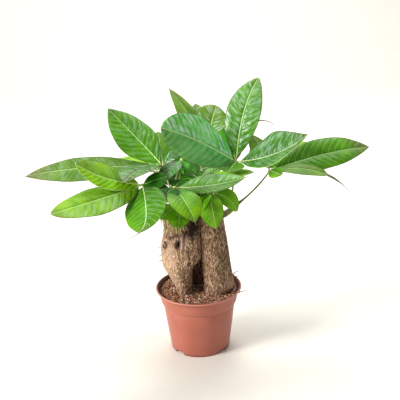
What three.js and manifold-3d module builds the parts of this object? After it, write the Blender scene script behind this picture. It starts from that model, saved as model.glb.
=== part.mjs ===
// Potted money tree: a nursery pot with peat, three cut stumps and the compound leaves on their shoots.
// Millimetres, +Z up, the pot's axis on Z and its feet on z = 0. The front of the plant looks towards -Y.
import * as THREE from "three";
import { mergeVertices } from "three/addons/utils/BufferGeometryUtils.js";
import Module from "manifold-3d";

const wasm = await Module();
wasm.setup();
const { Manifold, Mesh } = wasm;

// Driving dimensions.

const GAP = 0.35; // clear distance left between two pieces that touch

const POT = {
  height: 91,
  facets: 48,
  // Outer and inner wall from the bottom up, as radius and height.
  outer: [
    [41.5, 0], [42.1, 5], [50.6, 69.5], [53, 71], [56.6, 87.5], [59.2, 88.3], [60, 89.2], [60, 90.2], [59.4, 91],
  ],
  inner: [[57.9, 91], [56.6, 89.4], [54.9, 86.5], [51.4, 71.6], [49, 69.4], [40.4, 4.8]],
  floorUnder: 3.2,
  footInner: 39.6,
  notches: 4,
  notchAngle: 20,
};

const SOIL = { level: 86, bottom: 5.2, rings: [0, 12, 24, 36, 46, 52], facets: 40, bump: 1.1 };

const STUMP_FACETS = 22;
// One row for each level of a stump: its height, then where its left, right, front and back faces stand.
const STUMPS = {
  left: [
    [62, -30, -9, -22, 6], [86, -31.4, -8.2, -22, 7], [97, -33, -8, -24, 9], [106, -37.5, -8, -26, 12],
    [114, -41, -7.8, -28, 14], [124, -47, -6.5, -30, 16], [130, -49, -1.5, -31, 17], [135, -49.8, 4.6, -32, 17],
    [144, -50.3, 7, -32, 17], [157, -50.2, 7.2, -31, 16], [164, -49, 7.2, -31, 15], [169, -47, 7, -30, 14],
    [174, -45.5, 7, -29, 13], [185, -44, 6.8, -28, 12], [196, -45, 6.5, -27, 11], [205, -45.5, 6, -26, 10],
  ],
  right: [
    [62, 7, 40, -24, 8], [86, 6, 42, -25, 9], [92, 5.8, 48, -27, 12], [98, 5.6, 49.5, -28, 14],
    [108, 5.4, 48.7, -29, 16], [122, 5, 46.5, -30, 17], [140, 4.6, 43.8, -31, 17],
    [161, 4.6, 41.8, -30, 16], [178, 4.6, 39.6, -29, 15], [192, 4.8, 37.5, -28, 14], [206, 5, 37.5, -26, 12],
  ],
  back: [
    [62, -18, 16, 12, 34], [86, -19, 17, 11, 36], [105, -21, 19, 9, 39], [130, -22, 20, 7, 41],
    [160, -21, 19, 5, 40], [185, -20, 17, 3, 38], [210, -19, 16, 2, 36],
  ],
};

// Young stems out of the cut tops: their line, and the radius at its foot and its end.
const SHOOTS = {
  left: { line: [[-28, -9, 205], [-31, -11, 222], [-29, -13, 240]], foot: 5, end: 3.2 },
  right: { line: [[31, -8, 197], [44, -8, 200], [57, -8, 214]], foot: 5.2, end: 2.8 },
  middle: { line: [[17, -14, 206], [15, -18, 217], [18, -22, 230]], foot: 4, end: 2.8 },
  back: { line: [[-1, 23, 210], [0, 26, 230], [5, 30, 252]], foot: 4.6, end: 3 },
};

const BLADE = {
  thickness: 0.9,
  steps: 48, // equal parts of the midrib that its curve is followed in
  stations: [3, 9, 17, 25, 33, 41, 46], // parts at which a long leaflet has a row of points
  fewStations: [4, 14, 26, 38], // the same for a leaflet under shortLength
  shortLength: 55,
  across: [-1, -0.5, 0, 0.5, 1],
  stalk: 0.05, // share of the length before the blade opens
  widest: 0.52, // share of the blade at which it is widest
  pointing: 0.78, // how evenly it narrows to the tip
  fold: 0.22, // rise of the halves from the midrib, over the half width
  curl: 0.18, // fall of the margins from that fold, over the half width
  stalkHalf: 0.9,
  tipHalf: 0.4,
};
const PETIOLE = { radius: 1.4, hubRadius: 2.3, footRadius: 2.2, facets: 6, rings: 9 };

// Compound leaves. Each has its shoot, how far up that shoot its petiole stands (0 to 1), the bend the
// petiole goes through, the hub its leaflets spread from, and those leaflets. A leaflet leaves the hub at
// an azimuth from +X and a rise, in degrees, loses `droop` of that rise on its way to the tip, turns
// sideways by `bend`, curls sideways by `hook` near its tip, and rolls about its midrib by `roll` at the
// hub and `twist` more at the tip.
const LEAVES = {
  leaf_left_front: {
    shoot: "left", up: 0.55, through: [-47, -27, 240], hub: [-67, -45, 257],
    leaflets: [
      { azimuth: 222, rise: -3, length: 127, width: 48, droop: 4, bend: -19, roll: -27, twist: 6,
        skew: 0.11, pointing: 0.67 },
      { azimuth: 198, rise: 14, length: 92, width: 40, droop: -29, bend: -3, roll: -36, skew: -0.08,
        pointing: 0.62 },
      { azimuth: 280, rise: -17, length: 110, width: 55, droop: 6, bend: -10, hook: -114, roll: 21,
        tail: 0.14, pointing: 0.52 },
      { azimuth: 8, rise: 18, length: 34, width: 28, droop: 5, roll: 24, twist: 10, skew: -0.15 },
      { azimuth: 343, rise: -10, length: 37, width: 26, droop: 6, roll: 15, pointing: 0.55 },
    ],
  },
  leaf_left_upper: {
    shoot: "left", up: 0.74, through: [-38, 7, 247], hub: [-42, 14, 263],
    leaflets: [
      { azimuth: 145, rise: 40, length: 110, width: 63, droop: -5, bend: 15, roll: -31, twist: 22,
        skew: 0.06, pointing: 0.87 },
      { azimuth: 189, rise: 5, length: 190, width: 39, droop: 19, bend: -20, roll: -36, twist: -6,
        skew: 0.1, pointing: 1.0 },
      { azimuth: 235, rise: 16, length: 105, width: 47, droop: 27, bend: 19, roll: 10, twist: -15,
        fold: 0.3, pointing: 0.8 },
      { azimuth: 97, rise: 35, length: 65, width: 29, droop: 8, roll: 10, twist: -3 },
      { azimuth: 0, rise: 49, length: 46, width: 30, droop: 24, roll: 19 },
    ],
  },
  leaf_right_upper: {
    shoot: "right", up: 0.6, through: [50, -11, 240], hub: [55, -15, 274],
    leaflets: [
      { azimuth: 202, rise: 36, length: 120, width: 66, droop: 15, bend: 5, roll: -44, twist: -28,
        pointing: 0.6 },
      { azimuth: 60, rise: 78, length: 117, width: 47, droop: 38, bend: -17, roll: 13, twist: 5,
        pointing: 0.83 },
      { azimuth: 324, rise: 12, length: 109, width: 62, droop: -32, bend: 20, roll: 36, twist: -13,
        fold: 0.5, pointing: 1.1 },
      { azimuth: 150, rise: 10, length: 37, width: 30, droop: 40 },
      { azimuth: 245, rise: -5, length: 29, width: 34, droop: 20, pointing: 0.6 },
      { azimuth: 108, rise: 45, length: 56, width: 32, droop: 10, roll: 2, skew: -0.06, pointing: 0.7 },
      { azimuth: 69, rise: 74, length: 96, width: 7, droop: 116, bend: -57 },
    ],
  },
  leaf_right: {
    shoot: "right", up: 0.95, through: [82, -19, 237], hub: [99, -14, 260],
    leaflets: [
      { azimuth: 6, rise: 16, length: 136, width: 49, droop: 15, roll: 42, twist: -8, skew: 0.04,
        pointing: 0.86 },
      { azimuth: 344, rise: 12, length: 113, width: 34, droop: 64, bend: 4, roll: 5, twist: 19, skew: 0.08,
        tail: 0.33, pointing: 0.6 },
      { azimuth: 298, rise: 6, length: 25, width: 21, droop: 13, bend: 8, roll: 28, twist: 7 },
      { azimuth: 103, rise: 35, length: 68, width: 35, droop: 12, bend: 7, roll: 7, twist: 10,
        pointing: 0.65 },
      { azimuth: 31, rise: 22, length: 60, width: 33, droop: 15, roll: 20 },
    ],
  },
  leaf_front: {
    shoot: "left", up: 0.38, through: [-26, -38, 234], hub: [-26, -55, 255],
    leaflets: [
      { azimuth: 358, rise: 0, length: 97, width: 36, droop: -20, roll: 35, twist: -22, skew: 0.15,
        tail: 0.05, pointing: 0.95 },
      { azimuth: 285, rise: 0, length: 74, width: 43, droop: 60, bend: 19, twist: -3, tail: 0.04,
        pointing: 0.9 },
      { azimuth: 245, rise: 6, length: 36, width: 30, droop: 45 },
      { azimuth: 70, rise: 12, length: 22, width: 22, droop: 5 },
    ],
  },
  leaf_low_right: {
    shoot: "middle", up: 0.95, through: [20, -34, 242], hub: [22, -45, 244],
    leaflets: [
      { azimuth: 260, rise: -16, length: 59, width: 31, droop: 46, bend: 28, roll: 8, twist: 5, skew: -0.1,
        pointing: 0.75 },
      { azimuth: 352, rise: -15, length: 43, width: 36, droop: 61, bend: -2, roll: 24, twist: -12,
        skew: 0.05, pointing: 0.6 },
      { azimuth: 225, rise: -16, length: 50, width: 26, droop: 40 },
    ],
  },
  leaf_middle: {
    shoot: "middle", up: 0.75, through: [12, -18, 240], hub: [6, -16, 252],
    leaflets: [
      { azimuth: 343, rise: 14, length: 75, width: 28, droop: 8, roll: 10 },
      { azimuth: 272, rise: 0, length: 42, width: 34, droop: 35 },
      { azimuth: 20, rise: 20, length: 32, width: 20, droop: 5, roll: 20 },
      { azimuth: 120, rise: 15, length: 45, width: 30, droop: 30 },
    ],
  },
  leaf_young: {
    shoot: "left", up: 1, through: [-22, -12, 262], hub: [-16, -10, 278],
    leaflets: [
      { azimuth: 232, rise: -8, length: 46, width: 29, droop: 42 },
      { azimuth: 275, rise: -10, length: 28, width: 20, droop: 40 },
      { azimuth: 60, rise: 5, length: 22, width: 18, droop: 20 },
      { azimuth: 310, rise: -17, length: 34, width: 22, droop: 20 },
    ],
  },
  leaf_low_left: {
    shoot: "left", up: 0.2, through: [-24, -40, 228], hub: [-20, -60, 234],
    leaflets: [
      { azimuth: 221, rise: -8, length: 34, width: 34, droop: 30, roll: -8, pointing: 0.7 },
      { azimuth: 265, rise: -30, length: 34, width: 30, droop: 40 },
    ],
  },
  leaf_back_upper: {
    shoot: "back", up: 0.98, through: [12, 36, 266], hub: [18, 40, 276],
    leaflets: [
      { azimuth: 133, rise: 57, length: 103, width: 50, droop: 17, bend: 10, roll: 3, twist: 14,
        skew: 0.04, pointing: 1.0 },
      { azimuth: 66, rise: 65, length: 69, width: 50, droop: 34, bend: 3, roll: 14, twist: 13, skew: 0.03,
        pointing: 0.6 },
      { azimuth: 103, rise: 47, length: 78, width: 34, droop: 10 },
    ],
  },
  leaf_centre: {
    shoot: "back", up: 0.45, through: [-10, 24, 238], hub: [-20, 17, 244],
    leaflets: [
      { azimuth: 175, rise: 6, length: 27, width: 26, droop: 12, roll: -35 },
      { azimuth: 350, rise: 0, length: 36, width: 34, droop: 12, roll: 35 },
      { azimuth: 203, rise: -54, length: 38, width: 24, droop: 8 },
      { azimuth: 87, rise: 55, length: 36, width: 32, droop: 10 },
      { azimuth: 300, rise: -25, length: 40, width: 26, droop: 10 },
    ],
  },
  leaf_rear_left: {
    shoot: "back", up: 0.85, through: [-30, 36, 240], hub: [-52, 42, 246],
    leaflets: [
      { azimuth: 168, rise: 10, length: 135, width: 42, droop: 30, roll: -15 },
      { azimuth: 132, rise: 12, length: 116, width: 44, droop: 40 },
      { azimuth: 92, rise: 15, length: 90, width: 38, droop: 45, roll: 10 },
    ],
  },
  leaf_rear_middle: {
    shoot: "back", up: 0.75, through: [4, 50, 240], hub: [6, 66, 240],
    leaflets: [
      { azimuth: 112, rise: 15, length: 77, width: 36, droop: 50 },
      { azimuth: 70, rise: 15, length: 68, width: 36, droop: 45 },
      { azimuth: 20, rise: 10, length: 60, width: 30, droop: 40, roll: 15 },
      { azimuth: 180, rise: 0, length: 64, width: 36, droop: 25, roll: -35 },
    ],
  },
  leaf_rear_right: {
    shoot: "back", up: 0.9, through: [45, 44, 250], hub: [76, 52, 254],
    leaflets: [
      { azimuth: 18, rise: 12, length: 118, width: 42, droop: 25, roll: 20 },
      { azimuth: 52, rise: 14, length: 100, width: 42, droop: 40, roll: 8 },
    ],
  },
};

// Closed solids.

/** A closed solid from its points and the corners of its triangles, faces out. */
function solid(points, corners) {
  const vertProperties = new Float32Array(points.flatMap((point) => point.toArray()));
  return new Manifold(new Mesh({ numProp: 3, vertProperties, triVerts: new Uint32Array(corners) }));
}

/** The solid inside a closed three.js geometry. */
function solidOf(geometry) {
  const bare = new THREE.BufferGeometry().setAttribute("position", geometry.getAttribute("position"));
  bare.setIndex(geometry.index);
  const merged = mergeVertices(bare, 1e-3);
  const place = merged.getAttribute("position");
  const pointAt = (_, i) => new THREE.Vector3().fromBufferAttribute(place, i);
  const points = Array.from({ length: place.count }, pointAt);
  return solid(points, Array.from(merged.index.array));
}

/** A named mesh of a solid with a material of its own. */
function piece(name, body, material) {
  const { vertProperties, triVerts } = body.getMesh();
  const geometry = new THREE.BufferGeometry();
  geometry.setAttribute("position", new THREE.BufferAttribute(new Float32Array(vertProperties), 3));
  geometry.setIndex(new THREE.BufferAttribute(new Uint32Array(triVerts), 1));
  geometry.computeVertexNormals();
  const mesh = new THREE.Mesh(geometry, new THREE.MeshStandardMaterial(material));
  mesh.name = name;
  return mesh;
}

/** Solid through equal rings that run anticlockwise as seen from its last end; each end fans to a point. */
function skin(rings, first, last) {
  const count = rings[0].length;
  const at = (ring, spot) => 1 + ring * count + (spot % count);
  const end = 1 + rings.length * count;
  const corners = [];
  for (let j = 0; j < count; j++) {
    corners.push(0, at(0, j + 1), at(0, j));
    for (let i = 0; i + 1 < rings.length; i++) {
      corners.push(at(i, j), at(i, j + 1), at(i + 1, j));
      corners.push(at(i, j + 1), at(i + 1, j + 1), at(i + 1, j));
    }
    corners.push(at(rings.length - 1, j), at(rings.length - 1, j + 1), end);
  }
  return solid([first, ...rings.flat(), last], corners);
}

/** Round rod along a curve; `radius` gives its radius at each share of the way. */
function rod(curve, radius, facets, ringCount) {
  const rings = [];
  let across = new THREE.Vector3(1, 0, 0);
  for (let i = 0; i < ringCount; i++) {
    const share = i / (ringCount - 1);
    const ahead = curve.getTangent(share);
    const side = across.addScaledVector(ahead, -across.dot(ahead)).normalize().clone();
    const other = new THREE.Vector3().crossVectors(ahead, side);
    const centre = curve.getPoint(share);
    const ring = [];
    for (let j = 0; j < facets; j++) {
      const angle = (2 * Math.PI * j) / facets;
      const spot = centre.clone();
      spot.addScaledVector(side, radius(share) * Math.cos(angle));
      spot.addScaledVector(other, radius(share) * Math.sin(angle));
      ring.push(spot);
    }
    rings.push(ring);
    across = side.clone();
  }
  return skin(rings, curve.getPoint(0), curve.getPoint(1));
}

const vector = (list) => new THREE.Vector3(...list);
const mix = (a, b, share) => a + (b - a) * share;

// Pot and soil.

/** Pot shell: wall, stepped collar, rolled lip, raised floor and a foot ring parted by notches. */
function potSolid() {
  const under = [[POT.footInner, POT.floorUnder], [POT.footInner, 0]];
  const profile = [[0, POT.floorUnder], ...under, ...POT.outer, ...POT.inner, [0, POT.inner.at(-1)[1]]];
  const turned = new THREE.LatheGeometry(profile.map(([r, z]) => new THREE.Vector2(r, z)), POT.facets);
  let shell = solidOf(turned.rotateX(Math.PI / 2));
  const reach = POT.outer[1][0] + 4;
  const half = reach * Math.tan(THREE.MathUtils.degToRad(POT.notchAngle / 2));
  for (let k = 0; k < POT.notches; k++) {
    const notch = new THREE.BoxGeometry(reach - 36, 2 * half, 2 * POT.floorUnder);
    notch.translate((reach + 36) / 2, 0, -0.1);
    notch.rotateZ((2 * Math.PI * (k + 0.5)) / POT.notches);
    shell = shell.subtract(solidOf(notch));
  }
  return shell;
}

/** Peat fill: it follows the wall inside the pot, with an uneven top and plain holes for the stumps. */
function soilSolid(stumps) {
  const inside = (z) => {
    const wall = [...POT.inner].reverse();
    const upper = wall.findIndex(([, height]) => height >= z);
    const [[r0, z0], [r1, z1]] = upper > 0 ? [wall[upper - 1], wall[upper]] : [wall[0], wall[1]];
    return mix(r0, r1, (z - z0) / (z1 - z0)) - GAP;
  };
  const ringAt = (radius, height) => {
    const ring = [];
    for (let j = 0; j < SOIL.facets; j++) {
      const angle = (2 * Math.PI * j) / SOIL.facets;
      const x = radius * Math.cos(angle);
      const y = radius * Math.sin(angle);
      ring.push(new THREE.Vector3(x, y, height(x, y)));
    }
    return ring;
  };
  const bumpy = (x, y) => SOIL.level + SOIL.bump * Math.sin(x / 7 + 1) * Math.cos(y / 6 - x / 23);
  const sides = [SOIL.bottom, 69.4, 71.6].map((z) => ringAt(inside(z), () => z));
  const top = [...SOIL.rings].reverse().slice(0, -1).map((radius) => ringAt(radius, bumpy));
  const axisAt = (z) => new THREE.Vector3(0, 0, z);
  const body = skin([...sides, ...top], axisAt(SOIL.bottom), axisAt(bumpy(0, 0)));
  return stumps.reduce((rest, stump) => rest.subtract(stump), body);
}

// Stumps and shoots.

/** Stump through its levels, with shallow flutes in the bark; `grown` moves its faces out. */
function stumpSolid(levels, grown = 0) {
  const rings = levels.map(([z, left, right, front, back], i) => {
    const ends = (i === levels.length - 1) - (i === 0);
    const ring = [];
    for (let j = 0; j < STUMP_FACETS; j++) {
      const angle = (2 * Math.PI * j) / STUMP_FACETS;
      const flute = i < 2 ? 1 : 1 - 0.022 * (1 + Math.sin(5 * angle + z / 19)) * Math.abs(Math.sin(angle));
      const x = (left + right) / 2 + ((right - left) / 2 + grown) * Math.cos(angle) * flute;
      const y = (front + back) / 2 + ((back - front) / 2 + grown) * Math.sin(angle) * flute;
      ring.push(new THREE.Vector3(x, y, z + ends * grown));
    }
    return ring;
  });
  const middle = (ring) => ring.reduce((sum, p) => sum.add(p), new THREE.Vector3()).divideScalar(ring.length);
  return skin(rings, middle(rings[0]), middle(rings.at(-1)));
}

const shootCurve = (shoot) => new THREE.QuadraticBezierCurve3(...shoot.line.map(vector));

/** Shoot that tapers from its foot to a rounded end. */
function shootSolid(shoot, grown = 0) {
  const radius = (share) => grown + mix(shoot.foot, shoot.end, share) * (share === 1 ? 0.7 : 1);
  return rod(shootCurve(shoot), radius, 10, 7);
}

// Leaves.

/** Half width in millimetres at a share of the length from the hub. */
function halfWidth(share, leaflet) {
  const { tail = 0, pointing = BLADE.pointing, width } = leaflet;
  const along = THREE.MathUtils.clamp((share - BLADE.stalk) / (1 - tail - BLADE.stalk), 0, 1);
  const opening = (pointing * BLADE.widest) / (1 - BLADE.widest);
  const peak = BLADE.widest ** opening * (1 - BLADE.widest) ** pointing;
  const open = (along ** opening * (1 - along) ** pointing) / peak;
  return Math.max((width / 2) * open, mix(BLADE.stalkHalf, BLADE.tipHalf, share));
}

/** Midrib of a leaflet: for each equal step its point, and the across and outward directions there. */
function midrib(hub, leaflet) {
  const { azimuth, rise, length, droop, bend = 0, hook = 0, roll = 0, twist = 0 } = leaflet;
  const rad = THREE.MathUtils.degToRad;
  const frames = [];
  const point = vector(hub);
  let before = null;
  for (let i = 0; i <= BLADE.steps; i++) {
    const share = i / BLADE.steps;
    const up = rad(rise - droop * share ** 1.5);
    const turn = rad(azimuth + bend * share + hook * share ** 6);
    const ahead = vector([Math.cos(up) * Math.cos(turn), Math.cos(up) * Math.sin(turn), Math.sin(up)]);
    if (before) point.addScaledVector(ahead.clone().add(before), length / BLADE.steps / 2);
    before = ahead;
    const level = vector([-Math.sin(turn), Math.cos(turn), 0]);
    const upright = ahead.clone().cross(level);
    const lean = rad(roll + twist * share);
    const across = level.clone().multiplyScalar(Math.cos(lean)).addScaledVector(upright, Math.sin(lean));
    const outward = upright.clone().multiplyScalar(Math.cos(lean)).addScaledVector(level, -Math.sin(lean));
    frames.push({ share, point: point.clone(), across, outward });
  }
  return frames;
}

/** Leaflet blade: an even sheet over a folded, curled surface, both faces split the same way. */
function bladeSolid(hub, leaflet) {
  const frames = midrib(hub, leaflet);
  const { fold = BLADE.fold, skew = 0, tail = 0 } = leaflet;
  const usual = leaflet.length < BLADE.shortLength ? BLADE.fewStations : BLADE.stations;
  const stations = usual.map((station) => Math.round(station * (1 - tail)));
  if (tail > 0.1) stations.push(Math.round(BLADE.steps * (1 - tail / 2)));
  const columns = BLADE.across.length;
  const points = [];
  const addPair = ({ point, outward }) => {
    points.push(point.clone().addScaledVector(outward, BLADE.thickness / 2));
    points.push(point.clone().addScaledVector(outward, -BLADE.thickness / 2));
  };
  addPair(frames[0]);
  for (const station of stations) {
    const { share, point, across, outward } = frames[station];
    const half = halfWidth(share, leaflet);
    for (const side of BLADE.across) {
      const uneven = half * (1 + skew * side);
      const lift = uneven * (fold * Math.abs(side) - BLADE.curl * side * side);
      const spot = point.clone().addScaledVector(across, uneven * side).addScaledVector(outward, lift);
      addPair({ point: spot, outward });
    }
  }
  addPair(frames.at(-1));

  const upper = (row, column) => 2 + 2 * (row * columns + column);
  const corners = [];
  const bothFaces = (a, b, c) => corners.push(a, b, c, a + 1, c + 1, b + 1);
  const wall = (a, b) => corners.push(a, a + 1, b, b, a + 1, b + 1);
  const lastRow = stations.length - 1;
  const tip = points.length - 2;
  for (let column = 0; column + 1 < columns; column++) {
    bothFaces(0, upper(0, column), upper(0, column + 1));
    for (let row = 0; row < lastRow; row++) {
      bothFaces(upper(row, column), upper(row + 1, column), upper(row, column + 1));
      bothFaces(upper(row, column + 1), upper(row + 1, column), upper(row + 1, column + 1));
    }
    bothFaces(upper(lastRow, column), tip, upper(lastRow, column + 1));
  }
  const right = [0, ...stations.map((_, row) => upper(row, 0)), tip];
  const left = [0, ...stations.map((_, row) => upper(row, columns - 1)), tip];
  for (let i = 0; i + 1 < right.length; i++) {
    wall(right[i], right[i + 1]);
    wall(left[i + 1], left[i]);
  }
  return solid(points, corners);
}

/** Petiole from the shoot's core to the hub, swollen at both ends. */
function petioleSolid(leaf) {
  const foot = shootCurve(SHOOTS[leaf.shoot]).getPoint(leaf.up);
  const curve = new THREE.QuadraticBezierCurve3(foot, vector(leaf.through), vector(leaf.hub));
  const past = curve.getTangent(1).multiplyScalar(1.2).add(vector(leaf.hub));
  const line = new THREE.CatmullRomCurve3([...curve.getPoints(5), past]);
  const swell = (share) => {
    if (share > 0.97) return 0.6 * PETIOLE.hubRadius;
    if (share > 0.9) return PETIOLE.hubRadius;
    return mix(PETIOLE.footRadius, PETIOLE.radius, Math.min(share / 0.25, 1));
  };
  return rod(line, swell, PETIOLE.facets, PETIOLE.rings);
}

/** Compound leaf: petiole and leaflets in one solid, its foot cut clear of the shoot. */
function leafSolid(leaf) {
  const parts = [petioleSolid(leaf), ...leaf.leaflets.map((leaflet) => bladeSolid(leaf.hub, leaflet))];
  return Manifold.union(parts).subtract(shootSolid(SHOOTS[leaf.shoot], GAP));
}

// The plant.

const TERRACOTTA = { color: 0xb8705f, roughness: 0.55, metalness: 0 };
const PEAT = { color: 0x4a2d1c, roughness: 0.95, metalness: 0 };
const BARK = { color: 0xa0815f, roughness: 0.9, metalness: 0 };
const SHOOT_BARK = { color: 0x8b7650, roughness: 0.75, metalness: 0 };
const LEAF = { color: 0x4f9a35, roughness: 0.35, metalness: 0 };

const plant = new THREE.Group();
plant.name = "potted_money_tree";

const clearLeft = stumpSolid(STUMPS.left, GAP);
const clearRight = stumpSolid(STUMPS.right, GAP);
const stumps = {
  left: stumpSolid(STUMPS.left),
  right: stumpSolid(STUMPS.right).subtract(clearLeft),
  back: stumpSolid(STUMPS.back).subtract(clearLeft).subtract(clearRight),
};
const holes = Object.values(STUMPS).map((levels) => stumpSolid(levels, GAP));

plant.add(piece("pot", potSolid(), TERRACOTTA));
plant.add(piece("soil", soilSolid(holes), PEAT));
for (const [name, body] of Object.entries(stumps)) {
  plant.add(piece(`stump_${name}`, body, BARK));
}
for (const [name, shoot] of Object.entries(SHOOTS)) {
  const body = holes.reduce((rest, stump) => rest.subtract(stump), shootSolid(shoot));
  plant.add(piece(`shoot_${name}`, body, SHOOT_BARK));
}
for (const [name, leaf] of Object.entries(LEAVES)) {
  plant.add(piece(name, leafSolid(leaf), LEAF));
}

export default plant;
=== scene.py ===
import logging
from dataclasses import dataclass, field
from enum import Enum
from typing import Any

import bpy
import numpy as np
from mathutils import Matrix, Vector


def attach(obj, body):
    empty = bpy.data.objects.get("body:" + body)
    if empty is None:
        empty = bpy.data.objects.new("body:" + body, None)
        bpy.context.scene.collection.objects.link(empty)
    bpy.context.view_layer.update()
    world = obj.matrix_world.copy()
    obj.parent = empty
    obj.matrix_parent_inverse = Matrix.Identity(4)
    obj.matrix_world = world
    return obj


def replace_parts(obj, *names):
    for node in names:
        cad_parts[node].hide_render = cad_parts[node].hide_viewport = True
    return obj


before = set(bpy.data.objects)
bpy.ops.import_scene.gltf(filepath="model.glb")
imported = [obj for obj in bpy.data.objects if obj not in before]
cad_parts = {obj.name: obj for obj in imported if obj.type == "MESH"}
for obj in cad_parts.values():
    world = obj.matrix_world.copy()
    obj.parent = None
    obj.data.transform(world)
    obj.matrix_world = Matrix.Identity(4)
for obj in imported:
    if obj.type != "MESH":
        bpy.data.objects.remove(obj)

MM = 0.001
TURN = 2 * np.pi
BODY = "root"

log = logging.getLogger("money_tree")

Colour = tuple[float, float, float, float]
Spot = tuple[float, float, float]


def srgb(red: float, green: float, blue: float) -> Colour:
    """Linear colour with full alpha.

    Args:
        red, green, blue: the colour as a screen shows it, 0 to 255.

    Returns:
        Each channel c as ((c / 255 + 0.055) / 1.055) ** 2.4.
    """
    return tuple(((c / 255 + 0.055) / 1.055) ** 2.4 for c in (red, green, blue)) + (1.0,)


@dataclass(frozen=True)
class LeafColour:
    """Colours of a leaflet near its hub, near its tip and below, its gloss, and how pale its veins are."""

    base: Colour
    tip: Colour
    under: Colour
    gloss: float
    veins: float


class Tone(Enum):
    """Leaflet colours by age; BACKLIT is painted light shining through, DEEP_SHADE painted inner shade."""

    BRIGHT = LeafColour(srgb(112, 161, 14), srgb(128, 173, 28), srgb(136, 172, 82), 0.12, 0.35)
    FRESH = LeafColour(srgb(72, 134, 4), srgb(86, 142, 8), srgb(124, 168, 70), 0.14, 0.5)
    MID = LeafColour(srgb(77, 138, 6), srgb(89, 147, 14), srgb(110, 152, 70), 0.14, 0.45)
    DULL = LeafColour(srgb(92, 132, 46), srgb(106, 138, 60), srgb(126, 156, 92), 0.06, 0.3)
    SILVER = LeafColour(srgb(86, 132, 44), srgb(94, 140, 48), srgb(132, 160, 104), 0.18, 0.4)
    BLUISH = LeafColour(srgb(60, 124, 50), srgb(72, 134, 60), srgb(112, 156, 92), 0.25, 0.5)
    COOL = LeafColour(srgb(94, 172, 94), srgb(112, 178, 90), srgb(96, 144, 76), 0.3, 0.35)
    GLOSSY = LeafColour(srgb(72, 129, 28), srgb(84, 137, 38), srgb(112, 156, 76), 0.45, 0.55)
    # painted shade: the dark saturated green of leaflets deep inside the crown
    DEEP_SHADE = LeafColour(srgb(44, 122, 2), srgb(52, 128, 4), srgb(64, 128, 10), 0.02, 0.1)
    LOW = LeafColour(srgb(108, 168, 4), srgb(118, 174, 6), srgb(110, 160, 40), 0.06, 0.4)
    LIME = LeafColour(srgb(58, 132, 4), srgb(132, 184, 2), srgb(140, 180, 66), 0.12, 0.2)
    OLIVE = LeafColour(srgb(112, 152, 40), srgb(124, 156, 60), srgb(116, 142, 66), 0.05, 0.3)
    BACKLIT = LeafColour(srgb(84, 144, 2), srgb(100, 142, 4), srgb(104, 146, 20), 0.05, 0.3)
    SATIN = LeafColour(srgb(60, 109, 39), srgb(72, 118, 46), srgb(100, 150, 76), 0.12, 0.4)
    GREY = LeafColour(srgb(114, 156, 58), srgb(128, 154, 76), srgb(120, 142, 88), 0.1, 0.4)
    DRY = LeafColour(srgb(104, 136, 60), srgb(80, 62, 56), srgb(74, 60, 50), 0.0, 0.0)


def noise(across: np.ndarray, along: np.ndarray, seed: int, around: int = 64) -> np.ndarray:
    """Smooth seeded waves between -1 and 1.

    Random values stand on the whole numbers of a lattice, and between them they are blended by
    3t² - 2t³ in each direction. The lattice repeats every `around` cells across and 64 along.
    """
    table = np.random.default_rng(seed).uniform(-1, 1, (around, 64))
    i, j = np.floor(across).astype(int), np.floor(along).astype(int)
    s, t = across - i, along - j
    s, t = s * s * (3 - 2 * s), t * t * (3 - 2 * t)
    near = table[i % around, j % 64] * (1 - s) + table[(i + 1) % around, j % 64] * s
    far = table[i % around, (j + 1) % 64] * (1 - s) + table[(i + 1) % around, (j + 1) % 64] * s
    return near * (1 - t) + far * t


def swell(distance: np.ndarray) -> np.ndarray:
    """Round bump of height 1 at distance 0: exp(-distance²)."""
    return np.exp(-np.square(distance))


@dataclass
class Surface:
    """One closed surface: its points, its faces, and the value of each attribute at each point."""

    points: np.ndarray
    quads: np.ndarray
    triangles: np.ndarray
    values: dict[str, np.ndarray]
    slot: int = 0

    def facing_out(self) -> "Surface":
        """The surface with its faces turned round if they enclose less than nothing."""
        fan = np.concatenate([self.quads[:, [0, 1, 2]], self.quads[:, [0, 2, 3]], self.triangles])
        a, b, c = (self.points[fan[:, k]] for k in range(3))
        if np.einsum("ij,ij->i", a, np.cross(b, c)).sum() < 0:
            self.quads = self.quads[:, ::-1]
            self.triangles = self.triangles[:, ::-1]
        return self


def tube(rings: np.ndarray, values: dict[str, np.ndarray] | None = None, slot: int = 0) -> Surface:
    """Closed surface over rings of points, whose first and last ring are drawn together in one point.

    Args:
        rings: points as an array (rings, points in a ring, 3).
        values: attributes as arrays (rings, points in a ring) or (rings, points in a ring, 4).
        slot: the material slot of its faces.

    Returns:
        The surface. Point k of ring i joins points k + 1 of the same ring and k of ring i + 1.
    """
    count, size = rings.shape[:2]
    here = np.arange(count * size).reshape(count, size)
    beside = np.roll(here, -1, axis=1)
    quads = np.stack([here[:-1], beside[:-1], beside[1:], here[1:]], axis=-1).reshape(-1, 4)
    start = np.stack([np.full(size, count * size), beside[0], here[0]], axis=-1)
    end = np.stack([np.full(size, count * size + 1), here[-1], beside[-1]], axis=-1)

    def with_ends(grid: np.ndarray) -> np.ndarray:
        """The grid as a list, with the means of its first and last ring after it."""
        flat = grid.reshape(count * size, -1)
        ends = [ring.reshape(size, -1).mean(0)[None] for ring in (grid[0], grid[-1])]
        return np.concatenate([flat, *ends])

    listed = {name: with_ends(np.asarray(grid, float)) for name, grid in (values or {}).items()}
    return Surface(with_ends(rings), quads, np.concatenate([start, end]), listed, slot).facing_out()


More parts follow.
